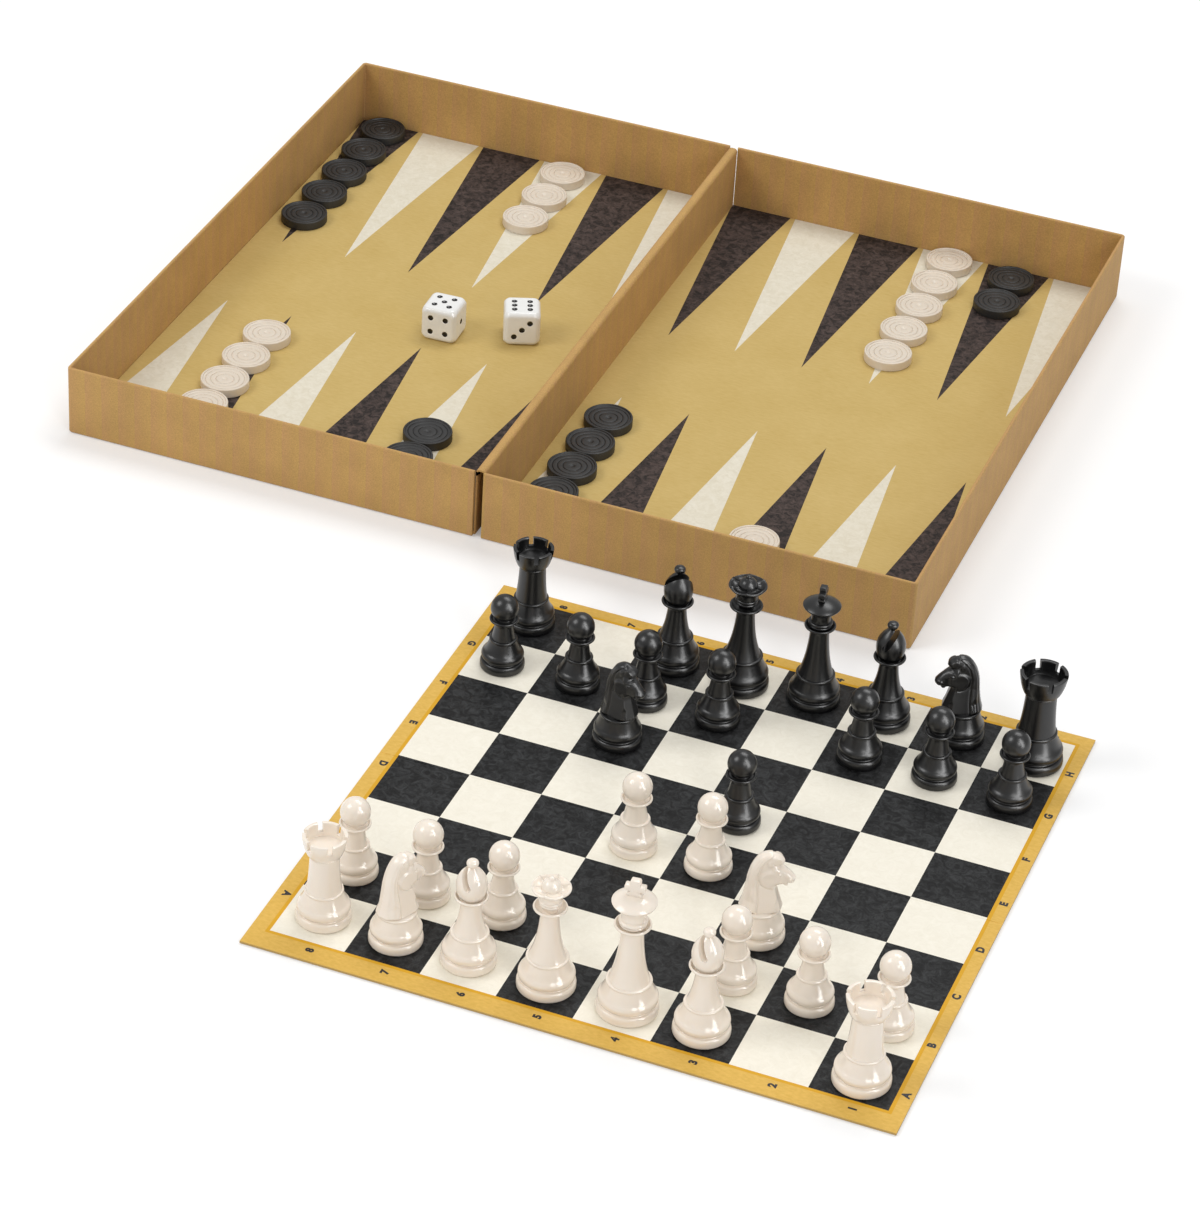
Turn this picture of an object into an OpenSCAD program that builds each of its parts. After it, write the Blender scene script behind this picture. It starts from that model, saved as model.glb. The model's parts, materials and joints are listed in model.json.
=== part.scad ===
// Games compendium: a folding two-tray box with a backgammon floor, its draughts
// and dice, and a folding chess board with two sets of turned men.
// Millimetres, +Z up. The origin is the middle of the right-hand tray's base.
// The photograph's viewer stands in front, at -Y, and to the right.

/* [Box] */
// Width of one tray
tray_w = 189.5; // [180:0.5:210]
// Depth of the trays
tray_d = 317; // [305:0.5:340]
// Height of the trays
tray_h = 32.5; // [26:0.5:42]
// Thickness of the front, back and end walls
wall = 1.5; // [1:0.1:2.5]
// Thickness of the floors
floor_t = 1.5; // [1:0.1:3]
// Inner radius of the folded corners
fold_r = 0.4; // [0.2:0.1:2]
// Radius of the bottom edges
bottom_r = 0.7; // [0.2:0.1:0.7]
// Thickness of the board at the fold
fold_t = 0.8; // [0.6:0.1:1.2]
// Distance between the two creases of the spine
spine_w = 2.6; // [2:0.1:4]
// Overlap of the print's outer points on the walls, both sides together
print_over = 1.9; // [0:0.1:4]
// Slit between a middle wall and the walls at its ends
fold_slit = 0.6; // [0.3:0.1:2]
// Thickness of the printed floor sheet
sheet_t = 0.4; // [0.3:0.1:1]
// Clearance round the printed floor sheet
sheet_gap = 0.2; // [0.1:0.1:0.6]

/* [Draughts] */
// Diameter of a draught
draught_d = 21.6; // [18:0.1:21.7]
// Height of a draught
draught_h = 4.3; // [3:0.1:6]
// Width of the raised rim
draught_rim = 0.9; // [0.5:0.1:1.5]
// Depth of the face below the rim
draught_dish = 0.5; // [0.3:0.1:0.8]
// Depth of the ring grooves
groove_t = 0.25; // [0.15:0.05:0.4]

/* [Dice] */
// Edge of a die
die_a = 16.5; // [12:0.5:18]
// Rounding of a die's edges
die_r = 2.2; // [1:0.1:3]
// Diameter of the sphere that rounds a die's corners
die_ball = 24.6; // [23:0.1:26]
// Diameter of a pip
pip_d = 3.2; // [2:0.1:3.4]
// Depth of a pip
pip_t = 0.7; // [0.4:0.1:1]
// Distance of the outer pips from the middle of a face
pip_off = 3.5; // [3:0.1:4.2]

/* [Chess board] */
// Side of a square
square = 30; // [28:0.5:34]
// Thickness of the board
board_t = 0.9; // [0.7:0.1:3]
// Border left of the squares
border_left = 7.5; // [5:0.1:20]
// Border right of the squares
border_right = 6.3; // [5:0.1:20]
// Border in front of the squares
border_front = 10.4; // [6:0.1:20]
// Border behind the squares
border_back = 7.1; // [5:0.1:20]
// Width of the crease between the leaves
crease_w = 1; // [0.6:0.1:2]
// Distance of the board behind the fold of the box, to the right
board_x = 24.5; // [0:0.5:80]
// Distance of the board in front of the box
board_gap = 29; // [20:0.5:80]

/* [Bases of the men] */
// Height of the foot
foot_h = 4; // [2.5:0.1:4.5]
// Step from the foot in to the bell
bell_step = 0.5; // [0.3:0.1:1]
// Height of the widest part of the bell
bell_z = 5.6; // [5:0.1:7]
// Height of the ring on top of the bell
ring_z = 13.7; // [12.5:0.1:15]
// Thickness of the rings
ring_t = 1.2; // [0.8:0.1:1.8]
// Thickness of the collars at the edge
collar_t = 1.1; // [0.6:0.1:1.4]

/* [King] */
// Radius of the foot
king_foot = 11.7; // [10:0.1:12.5]
// Radius of the ring
king_ring = 8.6; // [7:0.1:9]
// Radius of the waist
king_waist = 4.2; // [3:0.1:5]
// Radius of the collar
king_collar = 6.9; // [6:0.1:8]
// Height of the collar
king_collar_z = 39.1; // [36:0.1:42]
// Radius of the head
king_head = 8.3; // [7:0.1:9]
// Height of the king without the cross
king_dome_z = 52.6; // [50.5:0.1:55]
// Height of the cross
cross_h = 6.6; // [5:0.1:9]
// Width of the cross
cross_w = 7.8; // [5:0.1:9]
// Thickness of the cross
cross_t = 2.2; // [1.5:0.1:3]

/* [Queen] */
// Radius of the foot
queen_foot = 11.1; // [10:0.1:12]
// Radius of the ring
queen_ring = 8; // [7:0.1:9]
// Radius of the waist
queen_waist = 3.5; // [3:0.1:4.5]
// Radius of the collar
queen_collar = 6.4; // [5.6:0.1:7]
// Height of the collar
queen_collar_z = 36.5; // [34:0.1:38]
// Radius of the crown
crown_r = 7.4; // [6.4:0.1:8]
// Height of the crown's edge
crown_z = 46; // [44.5:0.1:49]
// Radius of the ball in the crown
crown_ball = 3.9; // [3:0.1:4.2]
// Petals round the crown
petals = 6; // [5:1:8]

/* [Bishop] */
// Radius of the foot
bishop_foot = 10.8; // [9.5:0.1:11.5]
// Radius of the ring
bishop_ring = 7.4; // [6.4:0.1:8]
// Radius of the waist
bishop_waist = 3.8; // [3:0.1:4.5]
// Radius of the collar
bishop_collar = 6.5; // [5.6:0.1:7]
// Height of the collar
bishop_collar_z = 30.6; // [29:0.1:33]
// Radius of the mitre
mitre_r = 5.9; // [5:0.1:6.4]
// Height of the widest part of the mitre
mitre_z = 36; // [36:0.1:39]
// Height of the mitre's tip
mitre_top = 44.2; // [43:0.1:47]
// Radius of the button
button_r = 2.3; // [1.8:0.1:2.6]
// Width of the slot in the mitre
slot_w = 2.2; // [1:0.1:2.6]
// Distance of the slot's closed end from the axis
slot_x = 2; // [1:0.1:3]
// Height of the slot's closed end
slot_z = 37.4; // [36:0.1:40]
// Lean of the slot from upright
slot_lean = 33; // [0:1:40]

/* [Rook] */
// Radius of the foot
rook_foot = 10.9; // [9.5:0.1:11.5]
// Radius of the ring
rook_ring = 7.6; // [6.8:0.1:8.2]
// Radius of the tower's waist
rook_waist = 5.7; // [5:0.1:6.4]
// Radius of the rim
rook_rim = 8.8; // [8.6:0.1:10]
// Height of the rook
rook_top = 39.5; // [39:0.1:46]
// Height of the flared head
head_h = 8.6; // [7:0.1:11]
// Thickness of the rim
rim_t = 1.5; // [1:0.1:2]
// Depth of the notches in the rim
notch_h = 3.8; // [3:0.1:5]
// Width of the notches
notch_w = 2; // [1.5:0.1:3]
// Notches round the rim
notches = 6; // [4:1:8]

/* [Knight] */
// Radius of the foot
knight_foot = 10.3; // [9.5:0.1:11.5]
// Radius of the ring
knight_ring = 7.6; // [7:0.1:8]
// Height of the knight
knight_top = 39; // [38:0.1:45]
// Width of the head over the cheeks
cheek_w = 7.6; // [6:0.1:9]
// Width of the muzzle
muzzle_w = 4.6; // [3.5:0.1:6]
// Width of the mane
mane_w = 4.2; // [3:0.1:6]

/* [Pawn] */
// Radius of the foot
pawn_foot = 9.3; // [8:0.1:10]
// Radius of the ring
pawn_ring = 5.8; // [5.4:0.1:7]
// Radius of the waist
pawn_waist = 3.7; // [2.6:0.1:4]
// Radius of the collar
pawn_collar = 6.1; // [5.4:0.1:6.6]
// Height of the collar
pawn_collar_z = 23.4; // [22:0.1:25]
// Radius of the ball
pawn_ball = 5.8; // [5.2:0.1:6.4]

/* [Hidden] */
$fn = 48;

// The fold: the creases lie half the spine's width below the rims, so the rims
// meet when the left tray has turned over the spine on to the right one.
rim_gap = spine_w + 2 * fold_t;
fold_x = -(tray_w + rim_gap) / 2;
crease_z = tray_h - spine_w / 2;
left_x = 2 * fold_x;
play_z = floor_t + sheet_t;

// The chess board
board_w = border_left + 8 * square + border_right;
board_d = border_front + 8 * square + border_back;
leaf_d = (board_d - crease_w) / 2;
board_left = fold_x + board_x;
board_front = -tray_d / 2 - board_gap - board_d;
squares_x = board_left + border_left;
squares_y = board_front + border_front;

black = [0.09, 0.09, 0.1];
ivory = [0.9, 0.86, 0.79];
kraft = [0.75, 0.6, 0.41];

// Columns of draughts: name, tray side (-1 left, 1 right), place of the point
// from the tray's middle in point widths, discs, side of the tray (-1 front,
// 1 back), pitch and distance of the first disc from the wall.
point_w = (tray_w + print_over) / 6;
columns = [
    ["draughts_left_back_black", -1, -2.46, 5, 1, 23.1, 11.3, black],
    ["draughts_left_back_white", -1, 0.52, 3, 1, 23.7, 13.8, ivory],
    ["draughts_left_front_white", -1, -1.52, 5, -1, 22, 15.6, ivory],
    ["draughts_left_front_black", -1, 1.54, 3, -1, 21.7, 15, black],
    ["draughts_right_back_white", 1, 0.51, 5, 1, 23.15, 11.1, ivory],
    ["draughts_right_back_black", 1, 1.49, 2, 1, 22.9, 14.9, black],
    ["draughts_right_front_black", 1, -2.44, 5, -1, 21.7, 16.6, black],
    ["draughts_right_front_white", 1, 0.39, 2, -1, 23.4, 16.2, ivory]
];

// Dice: name, place from the left tray's middle, turn, pips on top, front, right
dice = [
    ["die_near_fold_left", [20.8, -13.6], 2.4, [5, 4, 1]],
    ["die_near_fold_right", [53.5, -1], 22.6, [6, 3, 5]]
];

// Men: name, kind, square (column from the left, row from the front), step off
// the middle of the square as they were put down, turn about the upright,
// colour, and size against the white man of that kind: the black ones differ.
men = [
    ["white_rook_1", "rook", [0, 0], [-0.3, 0.48], 8, ivory, 0.97],
    ["white_rook_2", "rook", [7, 0], [1.14, -3.67], 10, ivory, 1],
    ["white_knight_1", "knight", [1, 0], [-0.7, -0.6], 60, ivory, 1],
    ["white_knight_2", "knight", [5, 2], [-0.1, -1.4], 22, ivory, 1],
    ["white_bishop_1", "bishop", [2, 0], [-1.82, -0.14], 165, ivory, 0.985],
    ["white_bishop_2", "bishop", [5, 0], [-0.12, -2.1], 165, ivory, 1],
    ["white_queen", "queen", [3, 0], [-0.71, -1.42], 0, ivory, 1],
    ["white_king", "king", [4, 0], [0.9, -1.3], 6, ivory, 1],
    ["white_pawn_1", "pawn", [0, 1], [-0.9, -0.2], 0, ivory, 1],
    ["white_pawn_2", "pawn", [1, 1], [-0.9, -1.5], 0, ivory, 1],
    ["white_pawn_3", "pawn", [2, 1], [-0.5, -1.4], 0, ivory, 1],
    ["white_pawn_4", "pawn", [3, 3], [-1, -0.8], 0, ivory, 1],
    ["white_pawn_5", "pawn", [4, 3], [-0.7, -0.9], 0, ivory, 1],
    ["white_pawn_6", "pawn", [5, 1], [0.4, -0.9], 0, ivory, 1],
    ["white_pawn_7", "pawn", [6, 1], [0.2, -0.7], 0, ivory, 1],
    ["white_pawn_8", "pawn", [7, 1], [0.97, -1.46], 0, ivory, 1],
    ["black_rook_1", "rook", [0, 7], [-2.4, 0.9], 0, black, 0.945],
    ["black_rook_2", "rook", [7, 7], [2.37, -1.95], 3, black, 1.08],
    ["black_knight_1", "knight", [2, 5], [-1.3, 0.8], -18, black, 0.97],
    ["black_knight_2", "knight", [6, 7], [0.73, 1.02], 208, black, 1],
    ["black_bishop_1", "bishop", [2, 7], [0.53, -0.43], -55, black, 1],
    ["black_bishop_2", "bishop", [5, 7], [0, -1], 12, black, 1],
    ["black_queen", "queen", [3, 7], [-0.2, -2.2], 15, black, 1.05],
    ["black_king", "king", [4, 7], [0.06, 0.53], 96, black, 0.92],
    ["black_pawn_1", "pawn", [0, 6], [-1.5, -1.4], 0, black, 0.98],
    ["black_pawn_2", "pawn", [1, 6], [0.7, -0.3], 0, black, 0.98],
    ["black_pawn_3", "pawn", [2, 6], [-0.7, 0.1], 0, black, 0.98],
    ["black_pawn_4", "pawn", [3, 6], [0.1, 0.3], 0, black, 0.98],
    ["black_pawn_5", "pawn", [4, 4], [-0.2, 0.6], 0, black, 0.98],
    ["black_pawn_6", "pawn", [5, 6], [-0.5, 0], 0, black, 0.98],
    ["black_pawn_7", "pawn", [6, 6], [0.3, 0.1], 0, black, 0.98],
    ["black_pawn_8", "pawn", [7, 6], [1.52, -1.9], 0, black, 0.98]
];

// ---- Curves for profiles -------------------------------------------------

// Points of an arc about c
function arc(c, r, from, to, steps = 6) =
    [for (i = [0:steps]) c + r * [cos(from + (to - from) * i / steps), sin(from + (to - from) * i / steps)]];

// Points of a curve from a to b, drawn towards p
function bend(a, p, b, steps = 5) =
    [for (i = [0:steps]) let (t = i / steps) (1 - t) * (1 - t) * a + 2 * t * (1 - t) * p + t * t * b];

// Smooth closed curve through the points
function through(pts, steps = 3) =
    [for (i = [0:len(pts) - 1], j = [0:steps - 1])
        let (n = len(pts), a = pts[(i + n - 1) % n], b = pts[i], c = pts[(i + 1) % n], d = pts[(i + 2) % n])
        let (t = j / steps)
        0.5 * (2 * b + (c - a) * t + (2 * a - 5 * b + 4 * c - d) * t * t + (3 * b - a - 3 * c + d) * t * t * t)];

// ---- Box -----------------------------------------------------------------

// Section of a wall with its rounded rim and bottom edge, from x = 0 outwards
module wall_section() {
    polygon(concat(
        [[0, 0]],
        arc([wall - bottom_r, bottom_r], bottom_r, -90, 0, 4),
        arc([wall / 2, tray_h - wall / 2], wall / 2, 0, 180, 8)
    ));
}

// One tray with its open middle wall at -X, centred on the origin
module tray() {
    corner = wall + fold_r;
    end_x = tray_w / 2;
    side_y = tray_d / 2;
    for (s = [-1, 1]) {
        // front and back walls
        translate([-end_x, s * side_y, 0])
            rotate([90, 0, 90])
                linear_extrude(tray_w - corner)
                    mirror([s > 0 ? 0 : 1, 0])
                        translate([-wall, 0]) wall_section();
        // folded corners
        translate([end_x - corner, s * (side_y - corner), 0])
            rotate([0, 0, s > 0 ? 0 : -90])
                rotate_extrude(angle = 90)
                    translate([fold_r, 0]) wall_section();
    }
    // end wall
    translate([end_x - wall, side_y - corner, 0])
        rotate([90, 0, 0])
            linear_extrude(tray_d - 2 * corner) wall_section();
    // floor
    translate([-end_x, -side_y + wall / 2, 0]) cube([tray_w - wall / 2, tray_d - wall, floor_t]);
    // middle wall at the fold, held only by the floor
    translate([-end_x - fold_t, -side_y + wall + fold_slit, 0])
        cube([fold_t, tray_d - 2 * (wall + fold_slit), crease_z]);
}

module sheet() {
    translate([-tray_w / 2, -tray_d / 2 + wall + sheet_gap, floor_t])
        cube([tray_w - wall - sheet_gap, tray_d - 2 * (wall + sheet_gap), sheet_t]);
}

module right_tray() {
    color(kraft) tray();
}

module right_sheet() {
    color([0.82, 0.7, 0.46]) sheet();
}

module left_tray() {
    color(kraft) translate([left_x, 0, 0]) mirror([1, 0, 0]) tray();
}

module left_sheet() {
    color([0.82, 0.7, 0.46]) translate([left_x, 0, 0]) mirror([1, 0, 0]) sheet();
}

// Strip between the creases, on top of the middle walls
module spine_strip() {
    color(kraft)
        translate([fold_x - spine_w / 2, -tray_d / 2 + wall + fold_slit, crease_z])
            cube([spine_w, tray_d - 2 * (wall + fold_slit), fold_t]);
}

// ---- Draughts and dice ---------------------------------------------------

// Half of a draught's profile, from its mid-plane to its top face
function groove(r, z) = [[r + groove_t, z], [r, z - groove_t], [r - groove_t, z]];
function draught_face() =
    let (r = draught_d / 2, z = draught_h / 2, f = z - draught_dish)
    concat(
        [[r, 0]],
        arc([r - 0.4, z - 0.4], 0.4, 0, 90, 3),
        [[r - draught_rim + 0.1, z], [r - draught_rim - 0.15, f]],
        groove(0.8 * r - draught_rim / 4, f),
        groove(0.59 * r, f),
        groove(0.37 * r, f),
        [[0.13 * r, f], [0, f - 0.4]]
    );

module draught() {
    half = draught_face();
    rotate_extrude()
        polygon(concat(half, [for (i = [len(half) - 1:-1:1]) [half[i][0], -half[i][1]]]));
}

module column(c) {
    inner_y = tray_d / 2 - wall;
    color(c[7])
        for (i = [0:c[3] - 1])
            translate([
                (c[1] < 0 ? left_x : 0) + c[2] * point_w,
                c[4] * (inner_y - c[6] - i * c[5]),
                play_z + draught_h / 2
            ]) draught();
}

// Square prism with rounded edges along Z
module rounded_bar(a, r) {
    inner = a - 2 * r;
    linear_extrude(a, center = true) {
        square([a, inner], center = true);
        square([inner, a], center = true);
        for (x = [-1, 1], y = [-1, 1])
            translate([x * inner / 2, y * inner / 2]) circle(r);
    }
}

// Pips of one number, as recesses in the top face
function pips(n) = concat(
    n % 2 == 1 ? [[0, 0]] : [],
    n > 1 ? [[-1, -1], [1, 1]] : [],
    n > 3 ? [[-1, 1], [1, -1]] : [],
    n == 6 ? [[-1, 0], [1, 0]] : []
);

module pip_recesses(n) {
    ball = (pip_d * pip_d / 4 + pip_t * pip_t) / (2 * pip_t);
    for (p = pips(n))
        translate([p[0] * pip_off, p[1] * pip_off, die_a / 2 - pip_t + ball]) sphere(ball);
}

module die(faces) {
    difference() {
        intersection() {
            rounded_bar(die_a, die_r);
            rotate([90, 0, 0]) rounded_bar(die_a, die_r);
            rotate([0, 90, 0]) rounded_bar(die_a, die_r);
            sphere(d = die_ball);
        }
        pip_recesses(faces[0]);
        rotate([90, 0, 0]) pip_recesses(faces[1]);
        rotate([0, 90, 0]) pip_recesses(faces[2]);
        rotate([180, 0, 0]) pip_recesses(7 - faces[0]);
        rotate([-90, 0, 0]) pip_recesses(7 - faces[1]);
        rotate([0, -90, 0]) pip_recesses(7 - faces[2]);
    }
}

module placed_die(d) {
    color(ivory)
        translate([left_x + d[1][0], d[1][1], play_z + die_a / 2])
            rotate([0, 0, d[2]]) die(d[3]);
}

// ---- Chess board ---------------------------------------------------------

module leaf() {
    cube([board_w, leaf_d, board_t]);
}

module board_front_leaf() {
    color([0.86, 0.7, 0.33]) translate([board_left, board_front, 0]) leaf();
}

module board_back_leaf() {
    color([0.86, 0.7, 0.33]) translate([board_left, board_front + leaf_d + crease_w, 0]) leaf();
}

module board_crease() {
    color([0.8, 0.65, 0.3])
        translate([board_left, board_front + leaf_d, 0]) cube([board_w, crease_w, board_t - 0.1]);
}

// ---- Turned parts of the men ---------------------------------------------

// Foot, bell and ring, from the axis up to the ring's top
function base(foot, ring) =
    let (bell = foot - bell_step)
    concat(
        [[0, 0]],
        bend([foot - 1, 0], [foot, 0], [foot, 1.4], 3),
        bend([foot, 1.7], [foot, foot_h - 0.3], [foot - 0.9, foot_h], 3),
        bend([foot - 0.9, foot_h + 0.2], [bell, foot_h + 0.5], [bell, bell_z], 3),
        bend([bell, bell_z + 0.2], [bell, bell_z + 1.4], [0.62 * bell + 0.38 * ring, bell_z + 2.5], 4),
        bend([0.55 * bell + 0.45 * ring, bell_z + 2.8], [0.33 * bell + 0.67 * ring, bell_z + 3.7], [ring - 0.3, ring_z - ring_t / 2], 4),
        arc([ring - ring_t / 2, ring_z], ring_t / 2, -60, 90, 4)
    );

// Hollow-curved stem from the ring up to the waist
function stem(ring, waist, top) =
    let (foot_z = ring_z + ring_t / 2)
    bend([ring - 0.9, foot_z], [waist + 0.6, foot_z + 0.36 * (top - foot_z)], [waist, top], 6);

// Thin collar, dished on top down to the neck
function collar(waist, r, z, neck) =
    concat(
        bend([waist, z - 3], [waist, z - 1.3], [r - collar_t / 2, z - collar_t / 2], 4),
        arc([r - collar_t / 2, z], collar_t / 2, -60, 100, 4),
        bend([r - 1, z + 0.1], [neck + 0.6, z - 0.6], [neck, z - 0.3], 3)
    );

module turned(profile) {
    rotate_extrude() polygon(profile);
}

module king() {
    z = king_collar_z;
    head = king_head;
    dome = king_dome_z;
    turned(concat(
        base(king_foot, king_ring),
        stem(king_ring, king_waist, z - 3.4),
        collar(king_waist, king_collar, z, 3.4),
        arc([4.5, z + 1.9], 0.8, -80, 80, 4),
        bend([4.4, z + 3], [4.2, z + 5.4], [5.6, dome - 5.2], 4),
        bend([5.8, dome - 5], [head - 0.4, dome - 4.4], [head, dome - 3.2], 4),
        bend([head, dome - 2.9], [head - 1.2, dome - 0.8], [0, dome], 6)
    ));
    translate([0, cross_t / 2, dome - 0.6]) rotate([90, 0, 0]) linear_extrude(cross_t) cross();
}

// Cross with a spread foot, two arms and a stub on top
module cross() {
    h = cross_h + 0.6;
    arm = cross_w / 2;
    half = [
        [0.34 * cross_w, 0], [0.34 * cross_w, 0.2 * h], [0.19 * cross_w, 0.34 * h],
        [0.19 * cross_w, 0.44 * h], [0.9 * arm, 0.38 * h], [arm, 0.46 * h], [arm, 0.68 * h],
        [0.9 * arm, 0.76 * h], [0.22 * cross_w, 0.72 * h], [0.24 * cross_w, 0.92 * h], [0.18 * cross_w, h]
    ];
    polygon(concat(half, [for (i = [len(half) - 1:-1:0]) [-half[i][0], half[i][1]]]));
}

module queen() {
    z = queen_collar_z;
    edge = crown_z;
    difference() {
        turned(concat(
            base(queen_foot, queen_ring),
            stem(queen_ring, queen_waist, z - 3.4),
            collar(queen_waist, queen_collar, z, 2.7),
            arc([3, z + 1.6], 0.7, -80, 80, 3),
            arc([3.7, z + 3], 0.7, -80, 80, 3),
            bend([4.2, z + 3.9], [4.4, edge - 3], [5.6, edge - 1.8], 3),
            bend([5.8, edge - 1.7], [crown_r - 0.2, edge - 1.2], [crown_r, edge], 3),
            [[crown_r - 0.7, edge + 0.5], [crown_ball, edge - 1.3], [0, edge - 1.4]]
        ));
        for (i = [0:petals - 1])
            rotate([0, 0, i * 360 / petals])
                translate([crown_ball - 0.6, 0, edge + 1.3])
                    rotate([0, 75, 0]) cylinder(h = 12, r1 = 1.6, r2 = 3.6);
    }
    turned(concat(
        [[0, edge - 2], [crown_ball - 1.2, edge - 2]],
        arc([0, edge - 0.8], crown_ball, -20, 70, 7),
        [[1, edge + 2.9], [1, edge + 3.5], [0.6, edge + 3.8], [0, edge + 3.8]]
    ));
}

module bishop() {
    z = bishop_collar_z;
    top = mitre_top;
    difference() {
        turned(concat(
            base(bishop_foot, bishop_ring),
            stem(bishop_ring, bishop_waist, z - 3.4),
            collar(bishop_waist, bishop_collar, z, 4),
            bend([4.1, z + 0.2], [mitre_r, z + 2], [mitre_r, mitre_z], 5),
            bend([mitre_r, mitre_z + 0.2], [mitre_r - 0.1, top - 3.6], [1.2, top], 7),
            bend([1.2, top + 0.1], [button_r, top + 0.5], [button_r, top + 1.4], 3),
            bend([button_r, top + 1.7], [button_r, top + 3.2], [0, top + 3.3], 5)
        ));
        // slanting slot with a rounded end
        translate([-slot_x, 0, slot_z]) rotate([0, slot_lean, 0]) {
            translate([-slot_w / 2, -2 * mitre_r, 0]) cube([slot_w, 4 * mitre_r, 3 * mitre_r]);
            rotate([90, 0, 0]) cylinder(h = 4 * mitre_r, d = slot_w, center = true);
        }
    }
}

module rook() {
    top = rook_top;
    ledge_z = top - head_h;
    floor_z = top - notch_h - 0.4;
    difference() {
        turned(concat(
            base(rook_foot, rook_ring),
            bend([rook_ring - 0.7, ring_z + ring_t / 2], [rook_waist + 0.3, ring_z + 6], [rook_waist, ledge_z - 0.8], 5),
            bend([rook_waist + 0.1, ledge_z - 0.7], [rook_waist + 0.5, ledge_z - 0.5], [rook_waist + 0.5, ledge_z], 3),
            bend([rook_waist + 0.6, ledge_z + 0.6], [rook_rim - 0.6, top - notch_h - 0.6], [rook_rim, top - 0.4], 5),
            [[rook_rim - 0.4, top], [rook_rim - rim_t, top], [rook_rim - rim_t - 0.6, floor_z], [0, floor_z]]
        ));
        for (i = [0:notches - 1])
            rotate([0, 0, i * 360 / notches])
                translate([rook_rim - rim_t - 2, -notch_w / 2, top - notch_h])
                    cube([rim_t + 4, notch_w, notch_h + 1]);
    }
}

module pawn() {
    z = pawn_collar_z;
    ball_z = z - 0.6 + pawn_ball;
    turned(concat(
        base(pawn_foot, pawn_ring),
        stem(pawn_ring, pawn_waist, z - 3),
        collar(pawn_waist, pawn_collar, z, 4),
        arc([0, ball_z], pawn_ball, -50, 90, 12)
    ));
}

// ---- Knight --------------------------------------------------------------

// Side outline of the head and neck, facing +X; heights follow knight_top
function knight_side() =
    let (k = (knight_top - 14) / 26.7, z0 = 14)
    [for (p = [
        [5.8, -1.2], [7.5, 0.1], [8.2, 1], [7.9, 2.2], [7, 5.2], [6, 8.6], [5.4, 10.8], [5.6, 11.8], [7.2, 12.1],
        [8.3, 11.5], [9.5, 11.5], [9.6, 12.7], [11.3, 13], [12.1, 14.9], [10.6, 17.3], [7.9, 19.9], [6.6, 21.2],
        [7.2, 22.5], [6.4, 24.7], [4, 26.3], [1.4, 26.7], [-1.6, 25.2], [-4.1, 21.2], [-5.6, 16.2], [-6.2, 10.6],
        [-7.1, 4.8], [-7.9, 1.8], [-8.1, 0.7], [-7.4, -0.2], [-5.8, -1.2]
    ]) [p[0], z0 + p[1] * k]];

// Front outline: half widths that grow from the mane down to the shoulders
function knight_front() =
    let (k = (knight_top - 14) / 26.7, z0 = 14, c = cheek_w / 2, m = mane_w / 2)
    let (half = concat(
        [[6, -3], [6.2, 0]],
        bend([6, 3], [4.6, 7.5], [c, 12], 4),
        bend([c, 15], [c, 19], [m + 0.8, 22.5], 4),
        bend([m + 0.5, 23.6], [m, 26.4], [0.8, 27], 3)
    ))
    concat(
        [for (p = half) [p[0], z0 + p[1] * k]],
        [for (i = [len(half) - 1:-1:0]) [-half[i][0], z0 + half[i][1] * k]]
    );

// Plan outline: the muzzle tapers forward of the cheeks
function knight_plan() =
    let (c = cheek_w / 2, m = muzzle_w / 2)
    let (half = [
        [-9, 1.6], [-7.4, 2.7], [-5.4, 4], [-3, 4.9], [0, 5.4], [3.5, 5.2], [5.8, c + 0.5], [7, m + 0.8],
        [9.4, m], [11.6, m - 0.1], [12.5, m - 0.9]
    ])
    concat(half, [for (i = [len(half) - 1:-1:0]) [half[i][0], -half[i][1]]]);

module knight() {
    turned(concat(
        base(knight_foot, knight_ring),
        [[knight_ring - 1, ring_z + ring_t / 2 + 0.3], [0, ring_z + ring_t / 2 + 0.3]]
    ));
    intersection() {
        translate([0, 8, 0]) rotate([90, 0, 0]) linear_extrude(16) polygon(through(knight_side(), 2));
        rotate([90, 0, 90]) translate([0, 0, -14]) linear_extrude(28) polygon(knight_front());
        translate([0, 0, 8]) linear_extrude(knight_top) polygon(knight_plan());
        cylinder(h = 100, r = 13);
    }
}

// ---- Set-up --------------------------------------------------------------

module shape(kind) {
    if (kind == "king") king();
    if (kind == "queen") queen();
    if (kind == "bishop") bishop();
    if (kind == "knight") knight();
    if (kind == "rook") rook();
    if (kind == "pawn") pawn();
}

module man(m) {
    color(m[5])
        translate([
            squares_x + (m[2][0] + 0.5) * square + m[3][0],
            squares_y + (m[2][1] + 0.5) * square + m[3][1],
            board_t
        ])
            rotate([0, 0, m[4]]) scale(m[6]) shape(m[1]);
}

right_tray();
right_sheet();
left_tray();
left_sheet();
spine_strip();
board_front_leaf();
board_crease();
board_back_leaf();
for (c = columns) column(c);
for (d = dice) placed_die(d);
for (m = men) man(m);
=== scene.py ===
# %% [markdown]
# # A games compendium box with draughts, dice and chessmen
# The real object is a shallow box of folded kraft board that opens into two
# trays. A printed sheet on their floors carries the backgammon points. Beside
# it lies a folding chess board with 32 moulded men on it.
# The measured model comes in first, and every piece below takes its place from
# it. Lengths are thought of in millimetres and Blender works in metres, so one
# name holds the step between them.

# %% Load the measured model
import json
import math

import bmesh
import bpy
import numpy as np
from mathutils import Matrix, Vector


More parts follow.
